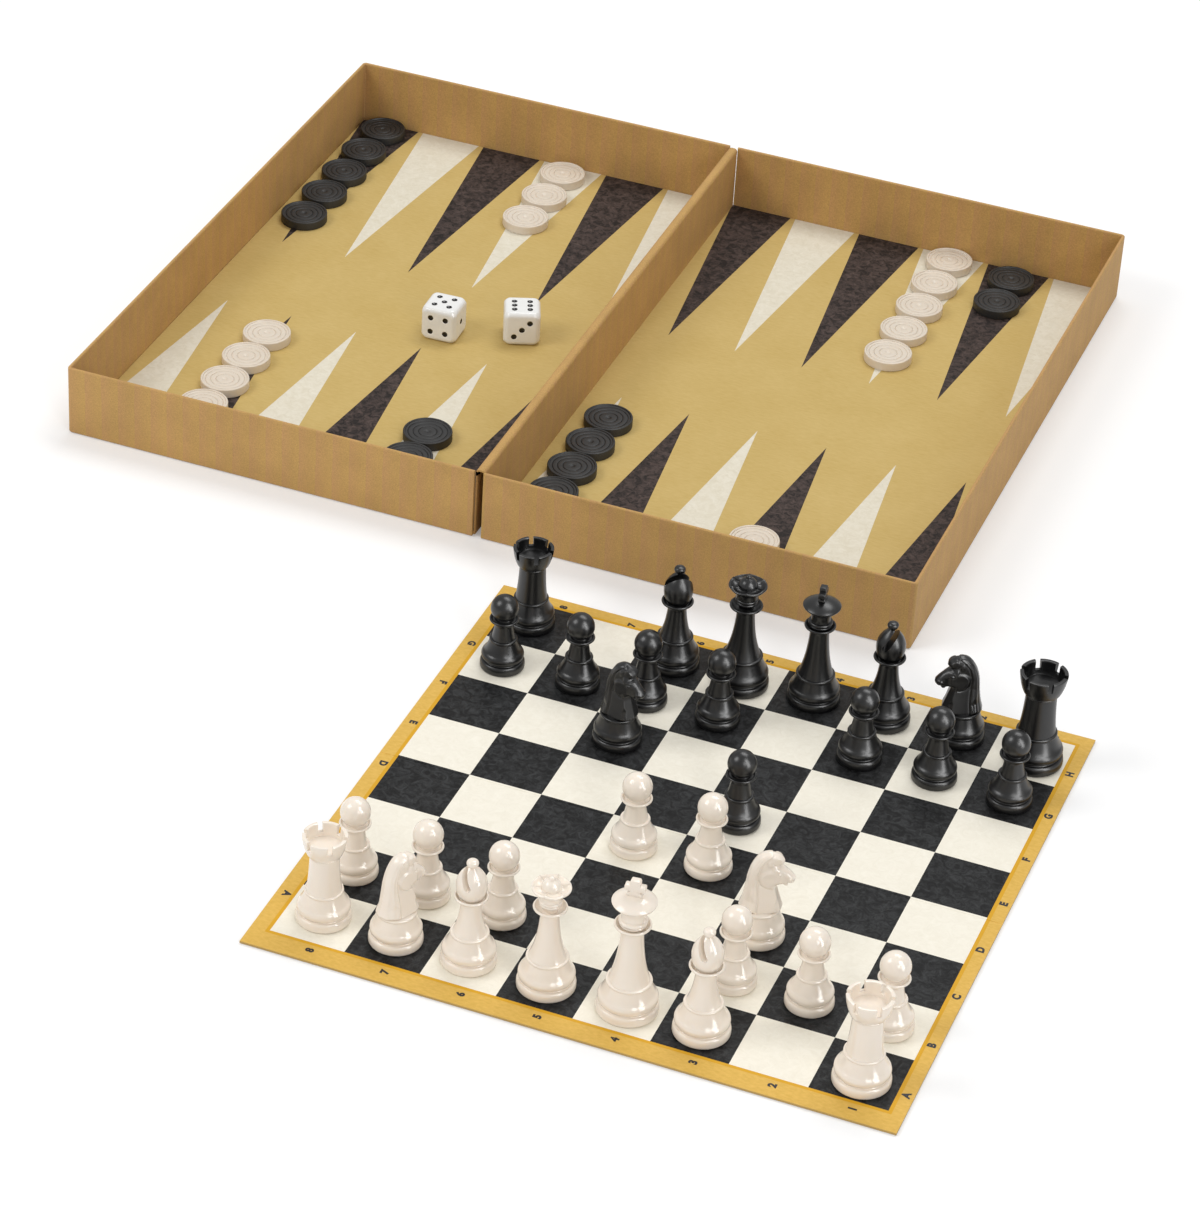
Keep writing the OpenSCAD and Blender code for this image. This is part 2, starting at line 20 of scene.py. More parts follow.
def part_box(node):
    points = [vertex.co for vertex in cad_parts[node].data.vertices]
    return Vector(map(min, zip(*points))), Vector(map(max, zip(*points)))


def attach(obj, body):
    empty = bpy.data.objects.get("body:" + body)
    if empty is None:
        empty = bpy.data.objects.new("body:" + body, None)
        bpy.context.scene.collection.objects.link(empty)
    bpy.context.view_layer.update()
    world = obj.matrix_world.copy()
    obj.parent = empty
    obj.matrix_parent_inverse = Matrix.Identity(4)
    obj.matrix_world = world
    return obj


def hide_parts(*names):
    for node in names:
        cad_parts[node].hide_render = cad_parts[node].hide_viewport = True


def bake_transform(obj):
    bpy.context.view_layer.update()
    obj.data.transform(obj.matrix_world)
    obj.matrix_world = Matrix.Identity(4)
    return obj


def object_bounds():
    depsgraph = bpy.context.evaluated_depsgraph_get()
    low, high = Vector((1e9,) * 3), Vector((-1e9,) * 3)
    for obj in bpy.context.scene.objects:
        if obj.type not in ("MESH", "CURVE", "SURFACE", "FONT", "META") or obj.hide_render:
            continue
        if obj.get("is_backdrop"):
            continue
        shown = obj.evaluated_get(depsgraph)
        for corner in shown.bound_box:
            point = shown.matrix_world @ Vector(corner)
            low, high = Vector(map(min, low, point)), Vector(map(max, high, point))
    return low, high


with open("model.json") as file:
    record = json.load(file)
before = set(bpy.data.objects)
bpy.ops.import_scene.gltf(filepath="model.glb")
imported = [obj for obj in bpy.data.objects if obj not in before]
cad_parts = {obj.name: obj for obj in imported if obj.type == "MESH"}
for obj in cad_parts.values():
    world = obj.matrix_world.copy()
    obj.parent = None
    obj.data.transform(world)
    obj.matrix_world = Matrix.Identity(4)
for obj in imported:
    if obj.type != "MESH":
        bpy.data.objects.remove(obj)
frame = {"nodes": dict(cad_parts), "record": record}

MM = 0.001
measured_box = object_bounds()

# %% [markdown]
# ## The camera
# The photograph was taken from in front and a little to the right, from a little
# under two metres away and well above the table, with a long lens.
# The place, the turn and the focal length come from matching the corners of the
# trays and of the board's squares to where the photograph shows them.

# %% Camera
lens = bpy.data.cameras.new("table camera")
lens.lens = 128.28
lens.sensor_width = 36
lens.shift_x = 0.06
lens.clip_start = 0.05
camera = bpy.data.objects.new("table camera", lens)
camera.location = (0.44836, -1.56852, 1.00278)
camera.rotation_euler = [math.radians(a) for a in (55.544, -2.4381, 21.9387)]
bpy.context.scene.collection.objects.link(camera)
bpy.context.scene.camera = camera
print("camera stands", round(camera.location.length, 2), "m from the box")

# %% [markdown]
# ## One way to write a material
# A finish is a small network of nodes. Written node by node it grows long, so
# one helper adds a node of any kind: its own settings by name, and what goes
# into its sockets as a list or by socket name. Whatever is a node is linked from
# its first live output, and whatever is a number or a colour is filled in.
# Colours are written as on a screen, in sRGB hex, and turned to the linear values
# that the renderer adds up. Each was set by putting renders beside the photograph
# until lit and shaded patches agreed.

# %% Helpers for nodes
def srgb(code):
    values = [int(code[i:i + 2], 16) / 255 for i in (0, 2, 4)]
    return [v / 12.92 if v <= 0.04045 else ((v + 0.055) / 1.055) ** 2.4 for v in values] + [1]


def add(tree, kind, sockets=(), **settings):
    node = tree.nodes.new(kind)
    for name, value in settings.items():
        setattr(node, name, value)
    live = [s for s in node.inputs if s.enabled]
    pairs = sockets.items() if isinstance(sockets, dict) else enumerate(sockets)
    for key, value in pairs:
        if value is None:
            continue
        socket = live[key] if isinstance(key, int) else node.inputs[key]
        if isinstance(value, bpy.types.Node):
            value = next(s for s in value.outputs if s.enabled)
        if isinstance(value, bpy.types.NodeSocket):
            tree.links.new(value, socket)
        else:
            socket.default_value = value
    return node


def new_finish(name):
    material = bpy.data.materials.new(name)
    material.use_nodes = True
    material.node_tree.nodes.clear()
    return material, material.node_tree


def finish_with(tree, shader):
    add(tree, "ShaderNodeOutputMaterial", [shader])


print("a mid grey, 808080, is", round(srgb("808080")[0], 3), "in linear light")

# %% [markdown]
# ## Kraft board
# The trays are folded from unbleached corrugated board with kraft paper on both
# sides. The flutes inside show through the paper as faint upright bands about
# 8 mm wide: each goes slowly from a pinkish tan to a golden one, and a step leads
# on to the next. Short wood fibres give a fine speckle, and the surface is matt.
# The bands could be modelled, but they are far flatter than the paper is thick,
# so they are colour and a touch of bump. They run along X on a wall that faces
# front or back and along Y on a wall that faces left or right, and the object's
# own normal says which.

# %% Kraft board
kraft, tree = new_finish("kraft paper on corrugated board")
place = add(tree, "ShaderNodeTexCoord")
at = add(tree, "ShaderNodeSeparateXYZ", [place.outputs["Object"]])
facing = add(tree, "ShaderNodeSeparateXYZ", [place.outputs["Normal"]])
sideways = add(tree, "ShaderNodeMath", [facing.outputs["X"]], operation="ABSOLUTE")
sideways = add(tree, "ShaderNodeMath", [sideways, 0.6], operation="GREATER_THAN")
along = add(tree, "ShaderNodeMix", [sideways, at.outputs["X"], at.outputs["Y"]])
waver = add(tree, "ShaderNodeTexNoise", {"Vector": place.outputs["Object"], "Scale": 60, "Detail": 1})
along = add(tree, "ShaderNodeMath", [waver, 0.0012, along], operation="MULTIPLY_ADD")
flute = 7.75 * MM
band = add(tree, "ShaderNodeMath", [along, 1 / flute], operation="MULTIPLY")
band = add(tree, "ShaderNodeMath", [band], operation="FRACT")
tan = add(tree, "ShaderNodeValToRGB", [band])
stops = tan.color_ramp.elements
stops[0].position, stops[0].color = 0.0, srgb("B98F5C")
stops[1].position, stops[1].color = 1.0, srgb("B99358")
stops.new(0.55).color = srgb("B99257")
stops.new(0.96).color = srgb("BB9556")
speckle = add(tree, "ShaderNodeTexNoise", {
    "Vector": place.outputs["Object"], "Scale": 1 / (0.55 * MM), "Detail": 3, "Roughness": 0.7})
cloud = add(tree, "ShaderNodeTexNoise", {
    "Vector": place.outputs["Object"], "Scale": 1 / (14 * MM), "Detail": 2})
mottle = add(tree, "ShaderNodeMath", [cloud, 0.35, speckle], operation="MULTIPLY_ADD")
light = add(tree, "ShaderNodeMapRange", [mottle, 0.45, 0.9, 0.82, 1.18])
colour = add(tree, "ShaderNodeVectorMath", [tan, light], operation="MULTIPLY")
relief = add(tree, "ShaderNodeMath", [speckle, 0.5, band], operation="MULTIPLY_ADD")
bump = add(tree, "ShaderNodeBump", {"Strength": 0.25, "Distance": 0.05 * MM, "Height": relief})
shader = add(tree, "ShaderNodeBsdfPrincipled", {
    "Base Color": colour, "Roughness": 0.72, "IOR": 1.5, "Specular IOR Level": 0.35, "Normal": bump})
finish_with(tree, shader)
tray_low, tray_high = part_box("right_tray")
bands = round((tray_high.x - tray_low.x) / flute)
print("a flute every", flute / MM, "mm:", bands, "bands on a tray's front")

# %% [markdown]
# ## The printed backgammon sheet
# A sheet of printed paper covers each floor: golden ground, and points that are
# black-brown and cream in turn, twelve on each sheet. All of them are triangles
# of one size at one pitch, so the print is a rule and not a picture: how far a
# spot is from the middle of its point is set against how wide the point is at
# that distance from the wall. Cutting them out as shapes would work as well, but
# ink has no thickness, and here one sheet stays one piece.
# The ground has fine fibres lying across it, and the inks have a faint marbling.

# %% Printed sheet of a tray
point_pitch, point_base, point_length = 31.9 * MM, 29.5 * MM, 127.5 * MM
wall_t = 1.5 * MM
inner_depth = tray_high.y - wall_t


def printed_sheet(name, middle):
    material, tree = new_finish(name)
    place = add(tree, "ShaderNodeTexCoord")
    at = add(tree, "ShaderNodeSeparateXYZ", [place.outputs["Object"]])
    # count the points from the left and measure across the one this spot is in
    across = add(tree, "ShaderNodeMath", [at.outputs["X"], middle], operation="SUBTRACT")
    across = add(tree, "ShaderNodeMath", [across, 1 / point_pitch, 3.0], operation="MULTIPLY_ADD")
    count = add(tree, "ShaderNodeMath", [across], operation="FLOOR")
    across = add(tree, "ShaderNodeMath", [across, count], operation="SUBTRACT")
    across = add(tree, "ShaderNodeMath", [across, 0.5], operation="SUBTRACT")
    across = add(tree, "ShaderNodeMath", [across], operation="ABSOLUTE")
    # how wide a point is here, as a share of the pitch
    depth = add(tree, "ShaderNodeMath", [at.outputs["Y"]], operation="ABSOLUTE")
    depth = add(tree, "ShaderNodeMath", [inner_depth, depth], operation="SUBTRACT")
    half_base = point_base / point_pitch / 2
    slope = -half_base / point_length
    width = add(tree, "ShaderNodeMath", [depth, slope, half_base], operation="MULTIPLY_ADD")
    inked = add(tree, "ShaderNodeMath", [across, width], operation="LESS_THAN")
    # dark and cream in turn, and the front row starts with cream
    front = add(tree, "ShaderNodeMath", [at.outputs["Y"], 0.0], operation="LESS_THAN")
    turn = add(tree, "ShaderNodeMath", [count, front], operation="ADD")
    cream = add(tree, "ShaderNodeMath", [turn, 2.0], operation="FLOORED_MODULO")
    cream = add(tree, "ShaderNodeMath", [cream, 0.5], operation="GREATER_THAN")
    # paper fibres that lie along X, and marbling in the inks
    stretch = add(tree, "ShaderNodeMapping", {"Vector": place.outputs["Object"], "Scale": (0.22, 1, 1)})
    fibre = add(tree, "ShaderNodeTexNoise", {
        "Vector": stretch, "Scale": 1 / (0.9 * MM), "Detail": 4, "Roughness": 0.65})
    cloud = add(tree, "ShaderNodeTexNoise", {
        "Vector": place.outputs["Object"], "Scale": 1 / (26 * MM), "Detail": 2})
    both = add(tree, "ShaderNodeMath", [cloud, 0.5, fibre], operation="MULTIPLY_ADD")
    ground = add(tree, "ShaderNodeValToRGB", [add(tree, "ShaderNodeMapRange", [both, 0.5, 1.0, 0, 1])])
    ground.color_ramp.elements[0].color = srgb("BDA15F")
    ground.color_ramp.elements[1].color = srgb("C8AE70")
    vein = add(tree, "ShaderNodeTexNoise", {
        "Vector": place.outputs["Object"], "Scale": 1 / (3 * MM),
        "Detail": 6, "Roughness": 0.7, "Distortion": 0.8})
    dark_ink = add(tree, "ShaderNodeValToRGB", [vein])
    dark_ink.color_ramp.elements[0].position = 0.4
    dark_ink.color_ramp.elements[0].color = srgb("211B19")
    dark_ink.color_ramp.elements[1].position = 0.68
    dark_ink.color_ramp.elements[1].color = srgb("564843")
    pale_ink = add(tree, "ShaderNodeValToRGB", [vein])
    pale_ink.color_ramp.elements[0].position = 0.3
    pale_ink.color_ramp.elements[0].color = srgb("D3CBB6")
    pale_ink.color_ramp.elements[1].position = 0.7
    pale_ink.color_ramp.elements[1].color = srgb("E2DCCC")
    ink = add(tree, "ShaderNodeMix", [cream, dark_ink, pale_ink], data_type="RGBA")
    colour = add(tree, "ShaderNodeMix", [inked, ground, ink], data_type="RGBA")
    bump = add(tree, "ShaderNodeBump", {"Strength": 0.12, "Distance": 0.05 * MM, "Height": fibre})
    shader = add(tree, "ShaderNodeBsdfPrincipled", {
        "Base Color": colour, "Roughness": 0.62, "IOR": 1.5, "Specular IOR Level": 0.2, "Normal": bump})
    finish_with(tree, shader)
    return material


fold_x = (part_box("spine_strip")[0].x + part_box("spine_strip")[1].x) / 2
right_print = printed_sheet("backgammon print on paper, right", -wall_t / 2)
left_print = printed_sheet("backgammon print on paper, left", 2 * fold_x + wall_t / 2)
print("the fold is at x =", round(fold_x / MM, 2), "mm")

# %% [markdown]
# ## The printed chess board
# The board is thin card with a printed paper face: a golden leathery border, a
# thin line of darker gold round the squares, and 64 squares with a soft marbling.
# Squares are a rule too: the sum of the two counts is even or odd. The plain tan
# card shows at the cut edges, where the face doesn't point up.

# %% Printed chess board
square = 30 * MM
leaf_low, leaf_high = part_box("board_front_leaf")
back_low, back_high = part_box("board_back_leaf")
squares_x = leaf_low.x + 7.5 * MM
squares_y = leaf_low.y + 10.4 * MM
board_top = leaf_high.z
crease_y = (leaf_high.y + back_low.y) / 2

chess_print, tree = new_finish("chess board print on paper")
place = add(tree, "ShaderNodeTexCoord")
at = add(tree, "ShaderNodeSeparateXYZ", [place.outputs["Object"]])
column = add(
    tree, "ShaderNodeMath", [at.outputs["X"], 1 / square, -squares_x / square], operation="MULTIPLY_ADD")
row = add(
    tree, "ShaderNodeMath", [at.outputs["Y"], 1 / square, -squares_y / square], operation="MULTIPLY_ADD")
side_out = add(tree, "ShaderNodeMath", [column, 4.0], operation="SUBTRACT")
side_out = add(tree, "ShaderNodeMath", [side_out], operation="ABSOLUTE")
end_out = add(tree, "ShaderNodeMath", [row, 4.0], operation="SUBTRACT")
end_out = add(tree, "ShaderNodeMath", [end_out], operation="ABSOLUTE")
out = add(tree, "ShaderNodeMath", [side_out, end_out], operation="MAXIMUM")
in_squares = add(tree, "ShaderNodeMath", [out, 4.0], operation="LESS_THAN")
in_line = add(tree, "ShaderNodeMath", [out, 4 + 1.5 * MM / square], operation="LESS_THAN")
column_count = add(tree, "ShaderNodeMath", [column], operation="FLOOR")
row_count = add(tree, "ShaderNodeMath", [row], operation="FLOOR")
turn = add(tree, "ShaderNodeMath", [column_count, row_count], operation="ADD")
dark = add(tree, "ShaderNodeMath", [turn, 2.0], operation="FLOORED_MODULO")
dark = add(tree, "ShaderNodeMath", [dark, 0.5], operation="GREATER_THAN")
vein = add(tree, "ShaderNodeTexNoise", {
    "Vector": place.outputs["Object"], "Scale": 1 / (4 * MM),
    "Detail": 7, "Roughness": 0.72, "Distortion": 1.2})
black_ink = add(tree, "ShaderNodeValToRGB", [vein])
black_ink.color_ramp.elements[0].position = 0.42
black_ink.color_ramp.elements[0].color = srgb("0A0A0B")
black_ink.color_ramp.elements[1].position = 0.66
black_ink.color_ramp.elements[1].color = srgb("343536")
cream_ink = add(tree, "ShaderNodeValToRGB", [vein])
cream_ink.color_ramp.elements[0].position = 0.3
cream_ink.color_ramp.elements[0].color = srgb("E9E3D3")
cream_ink.color_ramp.elements[1].position = 0.7
cream_ink.color_ramp.elements[1].color = srgb("F3EEE0")
squares = add(tree, "ShaderNodeMix", [dark, cream_ink, black_ink], data_type="RGBA")
grain_at = add(tree, "ShaderNodeMapping", {
    "Vector": place.outputs["Object"], "Scale": (0.5, 1, 1), "Rotation": (0, 0, 0.6)})
grain = add(tree, "ShaderNodeTexNoise", {
    "Vector": grain_at, "Scale": 1 / (1.1 * MM), "Detail": 3, "Roughness": 0.6})
border = add(tree, "ShaderNodeValToRGB", [grain])
border.color_ramp.elements[0].position = 0.3
border.color_ramp.elements[0].color = srgb("D3A94C")
border.color_ramp.elements[1].position = 0.75
border.color_ramp.elements[1].color = srgb("E1B75C")
printed = add(tree, "ShaderNodeMix", [in_line, border, srgb("D5A021")], data_type="RGBA")
printed = add(tree, "ShaderNodeMix", [in_squares, printed, squares], data_type="RGBA")
facing = add(tree, "ShaderNodeSeparateXYZ", [place.outputs["Normal"]])
papered = add(tree, "ShaderNodeMath", [facing.outputs["Z"], 0.5], operation="GREATER_THAN")
# the paper runs on through the crease, so the small steps there are printed too
from_crease = add(tree, "ShaderNodeMath", [at.outputs["Y"], crease_y], operation="SUBTRACT")
from_crease = add(tree, "ShaderNodeMath", [from_crease], operation="ABSOLUTE")
from_crease = add(tree, "ShaderNodeMath", [from_crease, 2 * MM], operation="LESS_THAN")
papered = add(tree, "ShaderNodeMath", [papered, from_crease], operation="MAXIMUM")
colour = add(tree, "ShaderNodeMix", [papered, srgb("B9985A"), printed], data_type="RGBA")
bump = add(tree, "ShaderNodeBump", {"Strength": 0.2, "Distance": 0.05 * MM, "Height": grain})
shader = add(tree, "ShaderNodeBsdfPrincipled", {
    "Base Color": colour, "Roughness": 0.5, "IOR": 1.5, "Specular IOR Level": 0.2, "Normal": bump})
finish_with(tree, shader)
print("squares run from", round(squares_x / MM, 1), "to", round((squares_x + 8 * square) / MM, 1), "mm")

# %% [markdown]
# ## Plastics
# The men are moulded polystyrene: a warm glossy ivory that lets a little light
# into itself, and a black with a satin shine. The draughts are the same plastic
# left matt from the mould. Polystyrene has an IOR near 1.59.
# Moulded plastic isn't perfectly even, so a very faint noise moves the
# roughness, and that is what keeps the shine from looking computed.

# %% Plastics
def moulded(name, pale, deep, roughness, inside=0.0):
    material, tree = new_finish(name)
    place = add(tree, "ShaderNodeTexCoord")
    flow = add(tree, "ShaderNodeTexNoise", {
        "Vector": place.outputs["Object"], "Scale": 1 / (22 * MM), "Detail": 2, "Roughness": 0.5})
    colour = add(tree, "ShaderNodeMix", [flow, srgb(deep), srgb(pale)], data_type="RGBA")
    rough = add(tree, "ShaderNodeMapRange", [flow, 0.3, 0.7, roughness - 0.02, roughness + 0.02])
    shader = add(tree, "ShaderNodeBsdfPrincipled", {
        "Base Color": colour, "Roughness": rough, "IOR": 1.59,
        "Subsurface Weight": inside, "Subsurface Radius": (1.0, 0.8, 0.6), "Subsurface Scale": 1.5 * MM})
    finish_with(tree, shader)
    return material


ivory_men = moulded("ivory polystyrene, glossy", "F4EADD", "EEE2D3", 0.13, inside=0.1)
black_men = moulded("black polystyrene, satin", "0D0D0E", "09090A", 0.31)
ivory_discs = moulded("ivory polystyrene, matt", "DBD0C1", "D5C8B6", 0.42, inside=0.1)
black_discs = moulded("black polystyrene, matt", "151413", "111010", 0.55)
print("plastics:", ivory_men.name, "/", black_men.name)

# %% [markdown]
# ## Turned forms
# A chessman is a turned form, so it is described by half of its outline: a list
# of distances from the axis and heights. Arcs and gentle bends give that outline
# its beads, hollows and collars. Blender could spin it with a Screw modifier, but
# a few lines that lay the rings down themselves also close the poles and leave
# room for a rule that moves a ring's points, as the queen's crown needs.

# %% Outlines and rings
def arc(centre, radius, start, stop, steps=10):
    angles = [math.radians(start + (stop - start) * i / steps) for i in range(steps + 1)]
    return [(centre[0] + radius * math.cos(a), centre[1] + radius * math.sin(a)) for a in angles]


def bend(a, towards, b, steps=10):
    line = []
    for t in [i / steps for i in range(steps + 1)]:
        weights = (1 - t) ** 2, 2 * t * (1 - t), t * t
        line.append(tuple(sum(w * v for w, v in zip(weights, pqr)) for pqr in zip(a, towards, b)))
    return line


def turned(outline, sides=80, shift=None):
    points = [p for i, p in enumerate(outline) if i == 0 or math.dist(p, outline[i - 1]) > 0.02]
    bm = bmesh.new()
    rings = []
    for r, z in points:
        if r < 0.01:
            rings.append([bm.verts.new((0, 0, z))])
            continue
        ring = []
        for k in range(sides):
            angle = 2 * math.pi * k / sides
            rr, zz = shift(r, z, angle) if shift else (r, z)
            ring.append(bm.verts.new((rr * math.cos(angle), rr * math.sin(angle), zz)))
        rings.append(ring)
    for low, high in zip(rings, rings[1:]):
        for k in range(sides):
            a, b = low[k % len(low)], low[(k + 1) % len(low)]
            c, d = high[(k + 1) % len(high)], high[k % len(high)]
            corners = [v for i, v in enumerate((a, b, c, d)) if v not in (a, b, c, d)[:i]]
            if len(corners) > 2:
                bm.faces.new(corners)
    return bm


def join(bm, other):
    """Add another form to this one, and let the other go."""
    mesh = bpy.data.meshes.new("part of a form")
    other.to_mesh(mesh)
    other.free()
    bm.from_mesh(mesh)
    bpy.data.meshes.remove(mesh)
    return bm


trial = turned([(0, 0), (5, 0), (5, 2), (0, 2)], 12)
print("a plain disc of 12 sides has", len(trial.faces), "faces")
trial.free()

# %% [markdown]
# ## What every man stands on
# All of them share a foot with a rounded edge, a bell that swells above it and
# draws in with a hollow curve, and a small ring on top of the bell. Only the radii
# differ, so this is one function of two radii. The stem is a hollow curve, and the
# collar is a dish from whose bottom the neck rises.

# %% Foot, bell, stem and collar
foot_h, bell_step, bell_z, ring_z, ring_t, collar_t = 4.0, 0.5, 5.6, 13.7, 1.2, 1.1


def base(foot, ring):
    bell = foot - bell_step
    return (
        [(0, 0)]
        + bend((foot - 1, 0), (foot, 0), (foot, 1.4))
        + bend((foot, 1.7), (foot, foot_h - 0.3), (foot - 0.9, foot_h))
        + bend((foot - 1.2, foot_h + 0.05), (foot - 1.5, foot_h + 0.15), (foot - 1.5, foot_h + 0.4), 4)
        + bend((foot - 1.4, foot_h + 0.6), (bell, foot_h + 1.1), (bell, bell_z + 0.6))
        + bend((bell, bell_z + 0.8), (bell, bell_z + 1.8), (0.62 * bell + 0.38 * ring, bell_z + 2.8), 12)
        + bend(
            (0.57 * bell + 0.43 * ring, bell_z + 3.05), (0.33 * bell + 0.67 * ring, bell_z + 4),
            (ring - 0.3, ring_z - ring_t / 2), 14)
        + arc((ring - ring_t / 2, ring_z), ring_t / 2, -60, 90)
    )


def stem(ring, waist, top):
    foot_z = ring_z + ring_t / 2
    return bend((ring - 0.9, foot_z), (waist + 0.6, foot_z + 0.36 * (top - foot_z)), (waist, top), 20)


def collar(waist, r, z, neck, dish=1.2):
    return (
        bend((waist, z - 3), (waist, z - 1.3), (r - collar_t / 2, z - collar_t / 2))
        + arc((r - collar_t / 2, z), collar_t / 2, -60, 100)
        + bend((r - 1, z + 0.1), (neck + 0.9, z - dish - 0.5), (neck, z - dish))
    )


print("the bell is widest", bell_z, "mm up")

# %% [markdown]
# ## Pawn, king and queen
# The pawn ends in a ball. The king carries a lens-shaped head and a cross with a
# spread foot: a flat outline given thickness and its edges eased. The queen's
# crown is scooped into six petals round a ball: on her crown the ring's points
# sink by a rule of the angle.

# %% Pawn and king
def pawn_form():
    z, ball = 23.4, 5.8
    return turned(
        base(9.3, 5.8) + stem(5.8, 3.7, z - 3) + collar(3.7, 6.1, z, 4, 0.1)
        + arc((0, z - 0.6 + ball), ball, -50, 90, 26)
    )


def king_form():
    z, head, dome = 39.1, 8.3, 52.6
    bm = turned(
        base(11.7, 8.6) + stem(8.6, 4.2, z - 3.4) + collar(4.2, 6.9, z, 3.6)
        + arc((4.3, z + 0.5), 0.7, -70, 80) + arc((4.6, z + 2), 0.8, -80, 80)
        + bend((4.4, z + 2.9), (4.1, z + 5.6), (5.6, dome - 5.4), 14)
        + bend((5.8, dome - 5.2), (head - 0.5, dome - 4.5), (head, dome - 3.3))
        + bend((head, dome - 3), (head - 0.7, dome - 2.3), (head - 2, dome - 1.6), 8)
        + bend((head - 2.2, dome - 1.5), (3.4, dome - 0.1), (0, dome), 12)
    )
    # half of the cross: spread foot, waist, arm with eased corners and stub
    half = [
        (2.9, 0), (2.8, 1.1), (2.3, 1.5), (1.7, 1.9), (1.7, 2.3), (3.4, 2.1), (3.9, 2.5), (3.9, 4.3),
        (3.5, 4.7), (1.9, 4.5), (2, 6.1), (1.6, 6.9),
    ]
    outline = half + [(-x, y) for x, y in reversed(half)]
    cross = bmesh.new()
    thick = 3
    face = cross.faces.new([cross.verts.new((x, thick / 2, dome - 0.3 + y)) for x, y in outline])
    grown = bmesh.ops.extrude_face_region(cross, geom=[face])["geom"]
    grown = [v for v in grown if isinstance(v, bmesh.types.BMVert)]
    bmesh.ops.translate(cross, verts=grown, vec=(0, -thick, 0))
    bmesh.ops.recalc_face_normals(cross, faces=cross.faces)
    bmesh.ops.bevel(cross, geom=cross.edges[:], offset=0.4, segments=3, affect="EDGES", profile=0.5)
    return join(bm, cross)


# %% Queen
def queen_form():
    z, edge, crown, ball, petals = 36.5, 46, 7.4, 3.8, 6

    def scoop(r, height, angle):
        # 0 on the six ridges, 1 between them
        wave = abs(math.cos(petals * angle / 2)) ** 0.3
        if height > edge - 1.6 and r > ball - 0.6:
            share = min(1, (height - edge + 1.6) / 1.6)
            hollow = 0.75 + 0.5 * math.sin(math.pi * min(1, (r - ball + 0.6) / (crown - ball)))
            return r - 0.3 * (1 - wave) * share, height - hollow * wave * share
        return r, height

    body = (
        base(11.1, 8) + stem(8, 3.5, z - 3.4) + collar(3.5, 6.4, z, 2.9)
        + bend((2.9, z - 0.6), (2.9, z + 0.6), (3.2, z + 1), 4)
        + arc((3.5, z + 1.7), 0.7, -80, 80) + arc((3.8, z + 3.1), 0.7, -80, 80)
        + bend((4.3, z + 3.9), (4.3, edge - 3), (5.4, edge - 2.1))
        + bend((5.6, edge - 2), (crown - 0.2, edge - 1.3), (crown, edge), 14)
        + bend((crown, edge + 0.2), (crown - 0.2, edge + 0.55), (crown - 0.7, edge + 0.5), 6)
        + bend((crown - 0.9, edge + 0.45), (ball + 1.4, edge + 0.1), (ball - 0.5, edge - 0.1), 14)
        + [(0, edge - 0.1)]
    )
    bm = turned(body, 240, scoop)
    top = turned(
        [(0, edge - 2), (ball - 1.2, edge - 2)] + arc((0, edge - 0.9), ball, -20, 70, 20)
        + bend((1.3, edge + 2.66), (1.0, edge + 2.9), (1.1, edge + 3.2), 4)
        + arc((0.2, edge + 3.2), 0.9, 0, 90, 6) + [(0, edge + 4.1)]
    )
    return join(bm, top)


trial = king_form()
king_h = max(v.co.z for v in trial.verts)
print("the king has", len(trial.faces), "faces and stands", round(king_h, 1), "mm tall")
trial.free()

# %% [markdown]
# ## Rook and bishop
# The rook's tower ends in a ledge, and above it a cup flares out whose rim has six
# narrow notches. The bishop's mitre has a slanting slot with a round end. Both are
# cuts with straight sides through a round wall, and a Boolean modifier makes those
# exactly, where moving points would leave ragged edges. Each cutter is a bar along
# Y with an outline in X and Z, and is thrown away after.

# %% Cut forms
def bar(tools, outline, length, matrix):
    ends = []
    for y in (-length / 2, length / 2):
        ends.append([tools.verts.new(matrix @ Vector((x, y, z))) for x, z in outline])
    for k in range(len(outline)):
        n = (k + 1) % len(outline)
        tools.faces.new((ends[0][k], ends[0][n], ends[1][n], ends[1][k]))
    tools.faces.new(ends[0])
    tools.faces.new(ends[1])


def cut(bm, bars):
    """The form less the bars, given as (outline, length, matrix)."""
    mesh = bpy.data.meshes.new("form")
    bm.to_mesh(mesh)
    bm.free()
    form = bpy.data.objects.new("form", mesh)
    tools = bmesh.new()
    for outline, length, matrix in bars:
        bar(tools, outline, length, matrix)
    bmesh.ops.recalc_face_normals(tools, faces=tools.faces)
    tool_mesh = bpy.data.meshes.new("cutter")
    tools.to_mesh(tool_mesh)
    tools.free()
    cutter = bpy.data.objects.new("cutter", tool_mesh)
    for obj in (form, cutter):
        bpy.context.scene.collection.objects.link(obj)
    modifier = form.modifiers.new("cut", "BOOLEAN")
    modifier.object, modifier.operation, modifier.solver = cutter, "DIFFERENCE", "EXACT"
    result = bmesh.new()
    bpy.context.view_layer.update()
    result.from_mesh(form.evaluated_get(bpy.context.evaluated_depsgraph_get()).to_mesh())
    for obj in (form, cutter):
        data = obj.data
        bpy.data.objects.remove(obj)
        bpy.data.meshes.remove(data)
    return result


